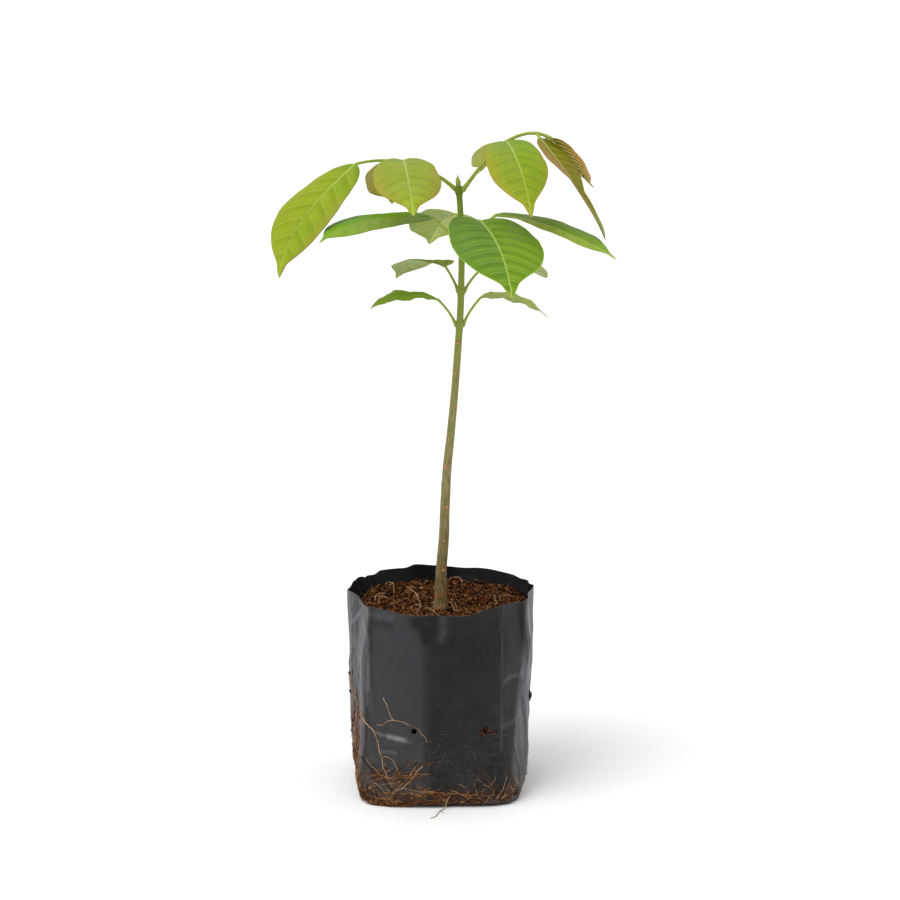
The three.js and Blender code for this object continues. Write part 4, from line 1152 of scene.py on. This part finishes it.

# Marks on the film: pale marks that are partly real scuffs and partly painted highlights along
# creases and folds, and painted shade in dents, creases and wrinkles, as (strength, width in
# millimetres, stations of heading and height)
SCUFFS_AND_PAINTED_HIGHLIGHTS = [
    (0.55, 1.3, [(201, 161), (205, 156), (203, 151), (196, 143), (191, 137)]),
    (0.3, 1.8, [(205, 147), (211, 143), (218, 140), (220, 134), (221, 110), (221, 92)]),
    (0.4, 1.8, [(192, 145), (189, 133), (191, 122), (186, 108)]),
    (0.13, 1.0, [(311, 138), (309, 119), (309, 94), (309, 57), (308, 45)]),
    (0.2, 2.0, [(335, 108), (329, 102), (317, 103), (311, 100)]),
    (0.15, 2.6, [(333, 76), (323, 66), (311, 64)]),
    (0.12, 3.2, [(271, 159), (271, 151), (271.5, 146), (270, 141)]),
    (0.35, 1.0, [(298, 4), (305, 3.2), (311, 3.6), (315, 5)]),
    (0.45, 1.1, [(227, 58.8), (231, 58), (236, 57.6), (242, 56.8), (247, 56.4), (251, 55.4)]),
    (0.85, 1.7, [(237, 57.4), (242, 56.8), (247, 56.2)]),
    (0.3, 0.9, [(232, 44), (237, 45), (242, 44.5)]),
    (0.1, 2.6, [(220, 154), (227, 153.5), (237, 154)]),
    (0.12, 2.6, [(40, 150), (44, 120), (46, 84), (50, 50)]),
    (0.13, 2.2, [(98, 152), (100, 128), (99, 104)]),
    (0.18, 2.2, [(168, 156), (170, 130), (168, 100)]),
    (0.18, 2.2, [(5, 150), (8, 120), (6, 92)]),
]
PAINTED_SHADE_MARKS = [
    (0.95, 5.5, [(253, 153), (257, 150), (260, 146), (261, 140)]),
    (0.95, 5.0, [(257, 155), (262, 156), (266, 155), (265, 151), (262, 147)]),
    (0.5, 2.6, [(222, 147), (229, 147.5), (237, 147)]),
    (0.55, 1.8, [(209, 151), (217, 146), (221, 139), (223, 125), (224, 96)]),
    (0.4, 2.4, [(194, 143), (200, 134), (211, 129)]),
    (0.5, 3.4, [(331, 152), (330, 129), (328, 109)]),
    (0.9, 2.6, [(309, 8), (314, 7.5), (320, 6.5)]),
    (0.5, 5.0, [(68, 146), (74, 138), (84, 141)]),
    (0.4, 3.0, [(120, 150), (128, 132), (126, 110)]),
]


def rim_height(heading):
    """The height of the bag's uneven rim."""
    at, z = np.array(RIM_HEIGHTS, float).T
    at = np.concatenate([at[-1:] - 360, at, at[:1] + 360])
    z = np.concatenate([z[-1:], z, z[:1]])
    turned = heading % 360
    i = np.clip(np.searchsorted(at, turned, side="right") - 1, 0, len(at) - 2)
    u = smooth_step((turned - at[i]) / (at[i + 1] - at[i]))
    return mix(z[i], z[i + 1], u)


def pleat_depth(heading, z):
    """A pleat swells up over its width and then drops back sharply at its fold."""
    depth = 0 * heading
    for fold, width, most in PLEATS:
        away = turn_from(heading, fold) * np.sign(width)
        rise = smooth_step((away + abs(width)) / abs(width)) * (away < 0)
        drop = smooth_step(1 - away / 2.2) * (away >= 0)
        depth = depth + most * (rise ** 2 + drop) * mix(0.35, 1.0, smooth_step(z / 120))
    return depth


def mark_share(marks, heading, z):
    """How strongly each place on the film is marked, from 0 to 1."""
    plain = np.ones(z.shape)
    for strength, width, stations in marks:
        nearest = np.full(z.shape, 99.0)
        for (h0, z0), (h1, z1) in zip(stations[:-1], stations[1:]):
            across = np.radians(turn_from(heading, h0)) * BAG["radius"]
            run, rise = math.radians(h1 - h0) * BAG["radius"], z1 - z0
            t = np.clip((across * run + (z - z0) * rise) / (run ** 2 + rise ** 2), 0, 1)
            nearest = np.minimum(nearest, np.hypot(across - t * run, z - z0 - t * rise))
        plain = plain * (1 - strength * hump(nearest, width))
    return 1 - plain


def film_relief(heading, z):
    """Pleats, creases, dents and fine wrinkles of the film, added to the bag's radius."""
    relief = pleat_depth(heading, z)
    for middle, most in CREASES:
        away = turn_from(heading, middle)
        relief = relief + most * np.maximum(0, 1 - np.abs(away) / 1.1) * smooth_step(z / 40)
    flat = ring(heading, 75 + 0 * z, z)
    broad = noise_of(flat, 34.0) * 1.3
    middling = noise_of(flat * np.array([1, 1, 0.7]), 13.0, 5.0) * 0.5
    sharp = 1 - np.abs(noise_of(flat * np.array([1, 1, 0.45]), 17.0, 9.0)) * 2.2
    sharp = np.maximum(0, sharp - 0.55) * 1.3
    fine = noise_of(flat, 3.2, 2.0) * 0.08
    gusset = np.abs(np.cos(np.radians(heading))) ** 3
    dents = 0 * z
    for middle, height, wide, tall, most in DENTS:
        away = turn_from(heading, middle)
        dents = dents + most * np.exp(-((away / wide) ** 2) - ((z - height) / tall) ** 2)
    tuck = 5.0 * hump(z, 12) * gusset
    return relief + broad * 0.6 + middling + sharp * mix(0.5, 1.2, gusset) + fine + dents - tuck


def film_radius(heading, z):
    """How far out the film stands."""
    return bag_radius(heading, np.minimum(z, BAG["height"])) + film_relief(heading, z) - 0.4


def make_bag():
    """The film: an outer and an inner wall, joined at the rim and closed at the foot."""
    sides, rows = FILM["sides"], FILM["rows"]
    heading = headings_round(sides)
    hh, uu = np.meshgrid(heading, np.linspace(0, 1, rows))
    zz = mix(FILM["foot"], rim_height(hh), uu)
    outer = film_radius(hh, zz)
    lip = np.exp(-((rim_height(hh) - zz) / FILM["lip_height"]))
    outer = outer + lip * noise_of(direction(hh, 0) * 75, 9.0, 4.0) * FILM["lip"]
    inner = ring(hh, outer - BAG["film"], zz)
    inner[0, :, 2] += FILM["lift"]
    marks = pairs(mark_share(SCUFFS_AND_PAINTED_HIGHLIGHTS, hh, zz), mark_share(PAINTED_SHADE_MARKS, hh, zz))
    maps = {"marks": marks, "outside": np.ones((rows * sides, 2))}
    shape = Shape()
    shape.add(ring(hh, outer, zz), [grid_faces(rows, sides, wrap=True)], **maps)
    shape.add(inner, [grid_faces(rows, sides, wrap=True, flip=True)])
    low = np.arange(sides)
    after = np.roll(low, -1)
    top, under = (rows - 1) * sides, rows * sides
    shape.stitch(np.stack([low + top, after + top, after + top + under, low + top + under], -1))
    foot = shape.count
    shape.add(direction(heading, 0) * (outer[0] - FILM["inset"])[:, None], [])
    shape.stitch(np.stack([low, low + foot, after + foot, after], -1))
    middle = shape.count
    shape.add([[0, 0, 0.0], [0, 0, float(inner[0, :, 2].mean())]], [])
    shape.stitch(np.stack([low + foot, 0 * low + middle, after + foot], -1))
    shape.stitch(np.stack([low + under, after + under, 0 * low + middle + 1], -1))
    made = shape.build("bag_film", [film_paint()], sharp=40)
    punch_drains(made)
    settle(made, "nursery_bag")


def drain_heading(i):
    """Where round the bag a drain hole is."""
    return DRAIN["first"] + 360 / DRAIN["count"] * i


def punch_drains(bag):
    """Cuts the round drain holes through the film."""
    cutter = Shape()
    for i in range(DRAIN["count"]):
        heading = np.full(3, drain_heading(i))
        radius = film_radius(heading[:1], np.full(1, DRAIN["height"]))
        line = ring(heading, radius + np.linspace(-6, 4, 3), np.full(3, DRAIN["height"]))
        cutter.add(*tubes(line[None], np.full((1, 3), DRAIN["radius"]), 20, np.array([0.0, 0.0, 1.0])))
    tool = cutter.build("drain_cutter", [])
    change = bag.modifiers.new("drains", "BOOLEAN")
    change.operation = "DIFFERENCE"
    change.solver = "EXACT"
    change.object = tool
    bpy.context.view_layer.update()
    graph = bpy.context.evaluated_depsgraph_get()
    cut = bpy.data.meshes.new_from_object(bag.evaluated_get(graph))
    bag.modifiers.clear()
    bag.data = cut
    bpy.data.objects.remove(tool)


# Coir, crumbs and roots

def soil_height(x, y):
    """The coir's smooth surface, a little higher towards the film and the back."""
    out = np.hypot(x - STEM["foot_x"], y)
    share = np.clip(out / 72, 0, 1)
    back = smooth_step((y + 30) / 90)
    surface = 144.6 + mix(1.0, 4.2, back) * share ** 2
    lumps = np.sin(x * 0.13 + 1.1) * np.cos(y * 0.11 - 0.6) + 0.5 * np.sin(x * 0.31 + y * 0.27)
    return surface + 0.9 * lumps * (1 - share ** 6)


def soil_grain(points):
    """How far the coir's lumps and pits stand from its smooth surface."""
    flat = points * np.array([1, 1, 0])
    return noise_of(flat, 9.0, 2.0) * 1.2 + noise_of(flat, 4.0) * 2.1 + noise_of(flat, 1.9, 4.0)


def bed_edge(heading):
    """How far out the film stands at the height of the coir."""
    return film_radius(heading, np.full(heading.shape, BED["height"]))


def make_soil(paint):
    """The coir bed: a lumpy top over a plain body that fills the bag."""
    sides, rings = 180, 64
    heading = headings_round(sides)
    share = np.linspace(1, 0.02, rings)[:, None]
    edge = bed_edge(heading) - BAG["film"] - 0.3
    x = share * edge * np.cos(np.radians(heading))
    y = share * edge * np.sin(np.radians(heading))
    top = np.stack([x, y, soil_height(x, y)], -1)
    top[..., 2] += soil_grain(top)
    levels = np.linspace(3.0, BED["wall_top"], 46)
    hh, zz = np.meshgrid(heading, levels)
    near_hole = np.abs(zz - DRAIN["height"]) < 10
    behind = np.where(near_hole, BED["behind_holes"], BED["behind"])
    wall = ring(hh, film_radius(hh, zz) - BAG["film"] - behind, zz)
    shape = Shape()
    shape.add(np.concatenate([wall, top]), barrel_faces(len(levels) + rings, sides))
    settle(shape.build("coir_bed", [paint]), "soil")


def fibre_paths(start, heading, length, rise, wander, stations, rng):
    """Many short wandering paths that start at given points, as (count, stations, 3)."""
    count = len(start)
    bend = rng.normal(0, wander, (count, stations - 1)).cumsum(axis=1)
    lift = rise[:, None] + rng.normal(0, wander * 0.5, (count, stations - 1)).cumsum(axis=1)
    step = direction(heading[:, None] + bend, lift) * (length / (stations - 1))[:, None, None]
    return np.concatenate([start[:, None], start[:, None] + np.cumsum(step, axis=1)], axis=1)


def fibre_piece(name, paths, radii, material, sides=3):
    """One piece of many thin tubes."""
    shape = Shape()
    shape.add(*tubes(paths, radii, sides, np.array([0.23, 0.31, 0.92])))
    settle(shape.build(name, [material]))


def scatter_on_soil(count, rng):
    """Points spread evenly over the coir's surface."""
    heading = rng.uniform(0, 360, count)
    out = (bed_edge(heading) - BED["film_gap"]) * np.sqrt(rng.uniform(0.004, 1, count))
    x, y = out * np.cos(np.radians(heading)), out * np.sin(np.radians(heading))
    return np.stack([x, y, soil_height(x, y)], -1)


def keep_in_bag(paths):
    """Pulls fibres on the soil in from the film, and out of the stem."""
    heading = np.degrees(np.arctan2(paths[..., 1], paths[..., 0]))
    out = np.hypot(paths[..., 0], paths[..., 1])
    limit = film_radius(heading, np.minimum(paths[..., 2], 158)) - BAG["film"] - 0.6
    paths[..., :2] *= (np.minimum(out, limit) / np.maximum(out, 1e-6))[..., None]
    middle = np.array([STEM["foot_x"], 0.0])
    away = paths[..., :2] - middle
    push = np.maximum(BED["stem_gap"] / np.maximum(np.hypot(away[..., 0], away[..., 1]), 1e-6), 1)
    paths[..., :2] = middle + away * push[..., None]
    return paths


def make_soil_fibres(rng, paints):
    """Three kinds of short coir fibres, lying about on the bed."""
    kinds = [
        ("coir_dark", 1500, (2.5, 6), (0.16, 0.32), "dark"),
        ("coir_red", 1700, (2.5, 7), (0.14, 0.27), "red"),
        ("coir_light", 900, (3, 9), (0.1, 0.21), "light"),
    ]
    for name, count, lengths, widths, tone in kinds:
        start = scatter_on_soil(count, rng)
        start[:, 2] += rng.uniform(-0.4, 1.8, count)
        length = rng.uniform(*lengths, count)
        rise = rng.normal(6, 18, count)
        paths = fibre_paths(start, rng.uniform(0, 360, count), length, rise, 24, 5, rng)
        ground = soil_height(paths[..., 0], paths[..., 1])
        paths[..., 2] = np.clip(paths[..., 2], ground - 1.2, ground + 4.5)
        radii = rng.uniform(*widths, count)[:, None] * np.array([0.7, 1.0, 1.0, 0.8, 0.35])
        fibre_piece(name, keep_in_bag(paths), radii, paints[tone])


# Lumps of coir stuck to the film: heading, height, their spreads, how far they stand off
# and how many crumbs make them up
CLUMPS = [
    (357, 72, 1.3, 2.2, 1.9, 130), (297, 62, 1.6, 1.9, 0.9, 110), (304, 61.5, 1.5, 0.8, 0.5, 30),
    (248, 57, 1.2, 1.0, 0.4, 16), (183, 92, 0.7, 0.8, 1.3, 24), (185, 77, 0.7, 1.0, 1.2, 24),
    (187, 52, 0.8, 0.9, 1.2, 26), (190, 28, 0.8, 0.8, 1.3, 26), (80, 60, 1.6, 1.6, 0.9, 60),
    (176, 40, 1.0, 1.4, 1.3, 40), (12, 38, 1.0, 1.2, 1.2, 30),
]


def make_crumbs(rng, paints):
    """Small lumps of coir dust, on the bed and stuck to the bag."""
    kinds = [
        ("crumbs_dark", 2400, (0.5, 1.4), "dark"),
        ("crumbs_red", 3000, (0.45, 1.15), "red"),
        ("crumbs_light", 900, (0.3, 0.75), "light"),
    ]
    for name, count, sizes, tone in kinds:
        start = scatter_on_soil(count, rng)
        start[:, 2] += soil_grain(start) + rng.uniform(0, 1.0, count)
        add_crumbs(name, keep_in_bag(start), rng.uniform(*sizes, count), paints[tone], rng)
    count = 1300
    z = np.clip(rng.exponential(26, count) + 2, 2, 118)
    points = on_film(rng.uniform(0, 360, count), z, 0.1)
    add_crumbs("bag_dust", points, rng.uniform(0.12, 0.36, count), paints["rust"], rng)
    lumps = []
    for i in range(DRAIN["count"]):
        if i not in DRAIN["open"]:
            away = rng.normal(0, 1.3, (26, 2))
            z = DRAIN["height"] + away[:, 1] * 1.1 - 1.2
            lumps.append(on_film(drain_heading(i) + away[:, 0], z, rng.uniform(-0.8, 0.4, 26)))
    for middle, height, spread, tall, most, many in CLUMPS:
        z = rng.normal(height, tall, many)
        heading = rng.normal(middle, spread, many)
        lift = most * rng.uniform(0, 1, many) ** 1.5 * hump(z - height, 1.6 * tall)
        lumps.append(on_film(heading, z, lift))
    points = np.concatenate(lumps)
    for tone, part, most in (("dark", points[::2], 0.95), ("rust", points[1::2], 0.6)):
        add_crumbs("hole_soil_" + tone, part, rng.uniform(0.25, most, len(part)), paints[tone], rng)


def add_crumbs(name, points, sizes, material, rng):
    """Rough eight-faced crumbs at the points."""
    axes = np.array([[1, 0, 0], [0, 1, 0], [-1, 0, 0], [0, -1, 0], [0, 0, 1], [0, 0, -1]], float)
    upper = [[i, (i + 1) % 4, 4] for i in range(4)]
    lower = [[(i + 1) % 4, i, 5] for i in range(4)]
    faces = np.array(upper + lower)
    count = len(points)
    spin = rng.uniform(0, 2 * np.pi, count)
    c, s = np.cos(spin)[:, None], np.sin(spin)[:, None]
    x, y = axes[:, 0], axes[:, 1]
    turned = np.stack([x * c - y * s, x * s + y * c, np.broadcast_to(axes[:, 2], (count, 6))], -1)
    turned = turned * rng.uniform(0.5, 1.2, (count, 6, 1)) * sizes[:, None, None]
    index = faces[None] + 6 * np.arange(count)[:, None, None]
    shape = Shape()
    shape.add(points[:, None] + turned, [index.reshape(-1, 3)])
    settle(shape.build(name, [material], sharp=30))


def on_film(heading, z, lift):
    """Points on the outside of the bag, lifted off it."""
    return ring(heading, film_radius(heading, z) + lift, np.maximum(z, 0.35))


def make_root(name, root, material, node=None):
    """One wandering root on the outside of the bag."""
    thick, thin, stations = root
    flat = curve_through(stations, 70)
    t = np.linspace(0, 1, 70)
    wiggle = noise_of(np.stack([flat[:, 0] * 1.3, flat[:, 1], 0 * t], -1), 6.0, 1.0)
    flat = flat + np.stack([wiggle * 1.1, wiggle[::-1] * 0.9], -1)
    knots = noise_of(np.stack([t * 60, 0 * t, 0 * t], -1), 3.0, 7.0)
    radii = mix(thick, thin, t) * 0.8 * (1 + 0.22 * knots)
    radii = radii * np.clip((1 - t) * 14 + 0.35, 0, 1)
    points = on_film(flat[:, 0], flat[:, 1], radii * 0.8)
    if node:
        low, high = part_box(node)
        points = np.clip(points, np.array(low) / MM - 2, np.array(high) / MM + 2)
    out = unit(points * np.array([1, 1, 0]))
    corners, faces = tubes(points[None], radii[None], 12, out[None])
    shape = Shape()
    shape.add(corners + noise_of(corners, 1.1, 3.0)[:, None] * 0.07, faces)
    settle(shape.build(name, [material], sharp=60), node)


# Where fibres cling to the bag: heading and height with their spreads, how many there are,
# which way they run, as an angle above level and its spread, and how far they stand off
MAT = [
    (232, 2.4, 24, 1.6, 44, 10, 40, 1.6), (244, 2.0, 22, 1.5, 34, 20, 30, 1.6),
    (251, 4, 28, 3, 44, 48, 16, 1.4), (232, 7, 7, 4.5, 46, 15, 40, 1.8),
    (236, 7, 2.6, 1.4, 70, 0, 14, 2.4), (225, 6, 9, 6, 44, 100, 35, 1.6),
    (214, 5, 10, 7, 60, 95, 25, 1.4), (206, 4, 30, 20, 60, 92, 10, 1.0),
    (198, 5, 45, 24, 60, 92, 12, 1.0), (190, 5, 60, 30, 40, 90, 12, 0.8),
    (265, 12, 11, 1.2, 90, 0, 8, 1.0), (258, 16, 1.5, 1, 70, 0, 10, 3.0),
    (288, 10, 4, 3, 24, 0, 25, 1.0), (303, 4, 11, 5, 26, 75, 30, 1.2),
    (300, 6, 6, 2, 22, 20, 40, 1.2), (315, 4, 10, 5, 20, 60, 40, 1.2),
    (350, 12, 8, 6, 60, 90, 40, 1.0), (30, 25, 6, 5, 110, 20, 60, 1.4),
    (85, 28, 7, 6, 140, 20, 60, 1.4), (130, 16, 10, 8, 110, 40, 60, 1.4),
    (165, 16, 14, 12, 110, 90, 40, 1.2),
]
# At the front, fibres keep this far above the floor
MAT_GAP = {"heading": 286, "reach": 34, "height": 3.4}
# The lines of the pale rootlets on the coir, as (x, y)
ROOTLETS = [
    [(-29, 54), (-24, 38), (-19, 20), (-17, 0), (-20, -23)],
    [(-28, 50), (-25, 51), (-21, 47)],
    [(-13, -3), (-8, -13), (-2, -23)],
    [(43, 30), (44, 15), (45, 2)],
    [(48, 25), (53, 27), (58, 24)],
    [(6, 15), (8, 2), (11, -10)],
    [(7, 20), (10, 7), (13, -6)],
    [(5, 70), (13, 77), (17, 62)],
    [(-55, 15), (-52, 30), (-46, 36)],
    [(-52, 7), (-50, 23), (-42, 21)],
    [(-47, 62), (-41, 54), (-39, 38)],
]
# Each tone of fibre: its material's name, its dark and light colours and the size of its patches
FIBRES = {
    # The bed's near black is partly the dark coir and partly painted shade for the gaps between crumbs
    # and fibres
    "bed": ("coir_bed", "#0a0502", "#1c0f06", 2.2),
    "dark": ("coir_dark", "#120803", "#2e180a"),
    "red": ("coir_red", "#4c240c", "#985628"),
    "light": ("coir_light", "#a06c3a", "#dcb07e"),
    "rust": ("coir_rust", "#4a2812", "#945c30"),
    "gold": ("coir_gold", "#80502a", "#c89a68"),
    "pale": ("rootlet_pale", "#a8865a", "#d4b98e"),
}


def make_mat(rng, paints):
    """Fibres and rootlets matted on the outside of the bag, thickest at the front left foot."""
    starts, turns, stands = [], [], []
    for heading, spread, height, tall, count, lean, swing, most in MAT:
        h = rng.normal(heading, spread, count)
        z = np.abs(rng.normal(height, tall, count)) + 0.6
        starts.append(np.stack([h, z], -1))
        turns.append(rng.normal(lean, swing, count) + 180 * rng.integers(0, 2, count))
        stands.append(np.full(count, most))
    starts, turns, stands = np.concatenate(starts), np.concatenate(turns), np.concatenate(stands)
    order = rng.permutation(len(starts))
    starts, turns, stands = starts[order], turns[order], stands[order]
    count = len(starts)
    stations, bag_reach = 7, 72
    length = rng.uniform(3, 19, count)
    turn = turns[:, None] + rng.normal(0, 16, (count, stations - 1)).cumsum(axis=1)
    turn = np.radians(turn)
    step = np.stack([np.cos(turn) / bag_reach * 180 / np.pi, np.sin(turn)], -1)
    step = step * (length / (stations - 1))[:, None, None]
    flat = np.concatenate([starts[:, None], starts[:, None] + np.cumsum(step, axis=1)], axis=1)
    clear = MAT_GAP["height"] * (np.abs(starts[:, :1] - MAT_GAP["heading"]) < MAT_GAP["reach"])
    height = clear + np.abs(flat[..., 1] - clear)
    lift = rng.uniform(0.05, 0.6, (count, 1)) * stands[:, None]
    lift = lift + rng.normal(0, 0.14, (count, stations)).cumsum(axis=1)
    paths = on_film(flat[..., 0], height, np.clip(lift, 0.05, stands[:, None]))
    widths = (0.08 + 0.3 * rng.uniform(0, 1, count) ** 2.5)[:, None] * np.linspace(1, 0.5, stations)
    for tone, first, last in (("rust", 0, 42), ("gold", 42, 76), ("dark", 76, 100)):
        chosen = slice(count * first // 100, count * last // 100)
        fibre_piece("mat_" + tone, paths[chosen], widths[chosen], paints[tone])


def make_rootlets(rng, paints):
    """A few pale rootlets on the coir."""
    flat = np.stack([curve_through(line, 24) for line in ROOTLETS])
    arch = 1.5 + 1.4 * np.sin(np.linspace(0, np.pi, 24))
    z = soil_height(flat[..., 0], flat[..., 1]) + arch
    paths = np.concatenate([flat, z[..., None]], axis=-1)
    paths[..., 2] += noise_of(paths, 9.0) * 0.5
    paths[..., :2] += noise_of(paths, 9.0, 3.0)[..., None] * 0.8
    radii = rng.uniform(0.2, 0.32, len(ROOTLETS))[:, None] * np.linspace(1.0, 0.6, 24)
    fibre_piece("soil_rootlets", keep_in_bag(paths), radii, paints["pale"], sides=8)


def make_floor_root(material):
    """The end of one root, lying on the floor, with a short fork."""
    shape = Shape()
    for line, ends in ((FLOOR_ROOT, (0.44, 0.26)), (FLOOR_FORK, (0.28, 0.16))):
        points = curve_through(line, 40)
        radii = mix(*ends, np.linspace(0, 1, 40))
        points[:, 2] = np.maximum(points[:, 2], radii)
        shape.add(*tubes(points[None], radii[None], 10, np.array([0.1, 0.2, 0.97])))
    settle(shape.build("thread_on_floor", [material], sharp=60))


def make_coir():
    """The coir in the bag, and all the coir and roots that cling to the outside."""
    rng = np.random.default_rng(SEED)
    paints = {tone: fibre_paint(*row) for tone, row in FIBRES.items()}
    make_soil(paints["bed"])
    make_soil_fibres(rng, paints)
    make_crumbs(rng, paints)
    make_rootlets(rng, paints)
    make_mat(rng, paints)
    skin = root_paint()
    for name, root in ROOTS.items():
        make_root(name + "_skin", root, skin, name)
    for name, root in SIDE_ROOTS.items():
        make_root("thread_" + name, root, skin)
    make_floor_root(skin)


# Floor, light and camera

# The studio is brightest overhead and at the sides, and darkest behind the camera. behind is what
# the camera sees past the floor.
SKY = {"strength": 0.85, "level": 0.86, "top": 0.3, "sides": 0.1, "dark_front": 0.42, "behind": 1.3}


def make_floor():
    """A white floor that curves up far off, so that no edge of it shows from the sides."""
    reach = np.array([1.0, 28, 32, 35.5, 38, 39.5, 40])[:, None] * 1000
    height = np.array([0, 0, 0.1, 0.35, 0.8, 1.4, 2.2])[:, None] * 1000
    sides = 96
    points = ring(*np.broadcast_arrays(headings_round(sides), reach, height))
    shape = Shape()
    shape.add(points, [grid_faces(7, sides, wrap=True, flip=True), np.arange(sides)[None]])
    floor = shape.build("floor", [floor_paint()])


def make_sky():
    """The studio's own light. The camera itself sees plain white, with no horizon."""
    world = bpy.data.worlds.new("studio")
    world.use_nodes = True
    sky = Nodes(world.node_tree)
    x, y, z = sky.split(sky.put("ShaderNodeTexCoord", output="Generated"))
    high = sky.number("MAXIMUM", z, 0.0)
    front = sky.number("MAXIMUM", sky.times(y, -1.0), 0.0)
    front = sky.times(front, sky.number("SUBTRACT", 1.0, high))
    light = sky.number("MULTIPLY_ADD", high, SKY["top"], SKY["level"])
    light = sky.number("MULTIPLY_ADD", sky.number("ABSOLUTE", x), SKY["sides"], light)
    light = sky.number("MULTIPLY_ADD", front, -SKY["dark_front"], light)
    seen = sky.put("ShaderNodeLightPath", output="Is Camera Ray")
    light = sky.number("MAXIMUM", light, sky.times(seen, SKY["behind"]))
    background = sky.tree.nodes["Background"]
    sky.tree.links.new(light, background.inputs["Color"])
    background.inputs["Strength"].default_value = SKY["strength"]
    bpy.context.scene.world = world


def place_aimed(name, data, place, aim):
    """Puts a lamp or a camera at a place, pointing in a direction."""
    made = bpy.data.objects.new(name, data)
    made.location = place
    made.rotation_mode = "QUATERNION"
    made.rotation_quaternion = aim.to_track_quat("-Z", "Y")
    bpy.context.scene.collection.objects.link(made)
    return made


def make_lamp():
    """One large soft lamp, high at the front left."""
    sun = bpy.data.lights.new("key", "SUN")
    sun.energy = 1.45
    sun.angle = math.radians(38)
    place_aimed("key", sun, (-1.5, -1.2, 2.2), Vector((0.66, 0.52, -1.4)))


def make_camera():
    """Two metres off and twelve degrees above level, as the photograph was fitted."""
    data = bpy.data.cameras.new("camera")
    data.lens = 100
    data.sensor_width = 36
    place = Vector((0.0068, -1.9563, 0.6921))
    aim = Vector((0.0068, 0.0, 0.2763)) - place
    bpy.context.scene.camera = place_aimed("camera", data, place, aim)


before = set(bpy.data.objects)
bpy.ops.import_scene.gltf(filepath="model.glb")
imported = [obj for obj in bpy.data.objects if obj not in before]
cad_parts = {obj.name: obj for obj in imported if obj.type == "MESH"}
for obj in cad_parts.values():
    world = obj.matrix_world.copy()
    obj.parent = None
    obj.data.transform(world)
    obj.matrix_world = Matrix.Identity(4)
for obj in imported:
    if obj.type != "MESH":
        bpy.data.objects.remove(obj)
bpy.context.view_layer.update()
bpy.context.scene.view_settings.view_transform = "Standard"
make_camera()
make_sky()
make_lamp()
make_floor()
make_bag()
make_coir()
make_stem()
make_bud()
for side in RACHIS:
    make_rachis(side)
for leaf_name in LEAVES:
    make_leaf(leaf_name)
bpy.context.view_layer.update()
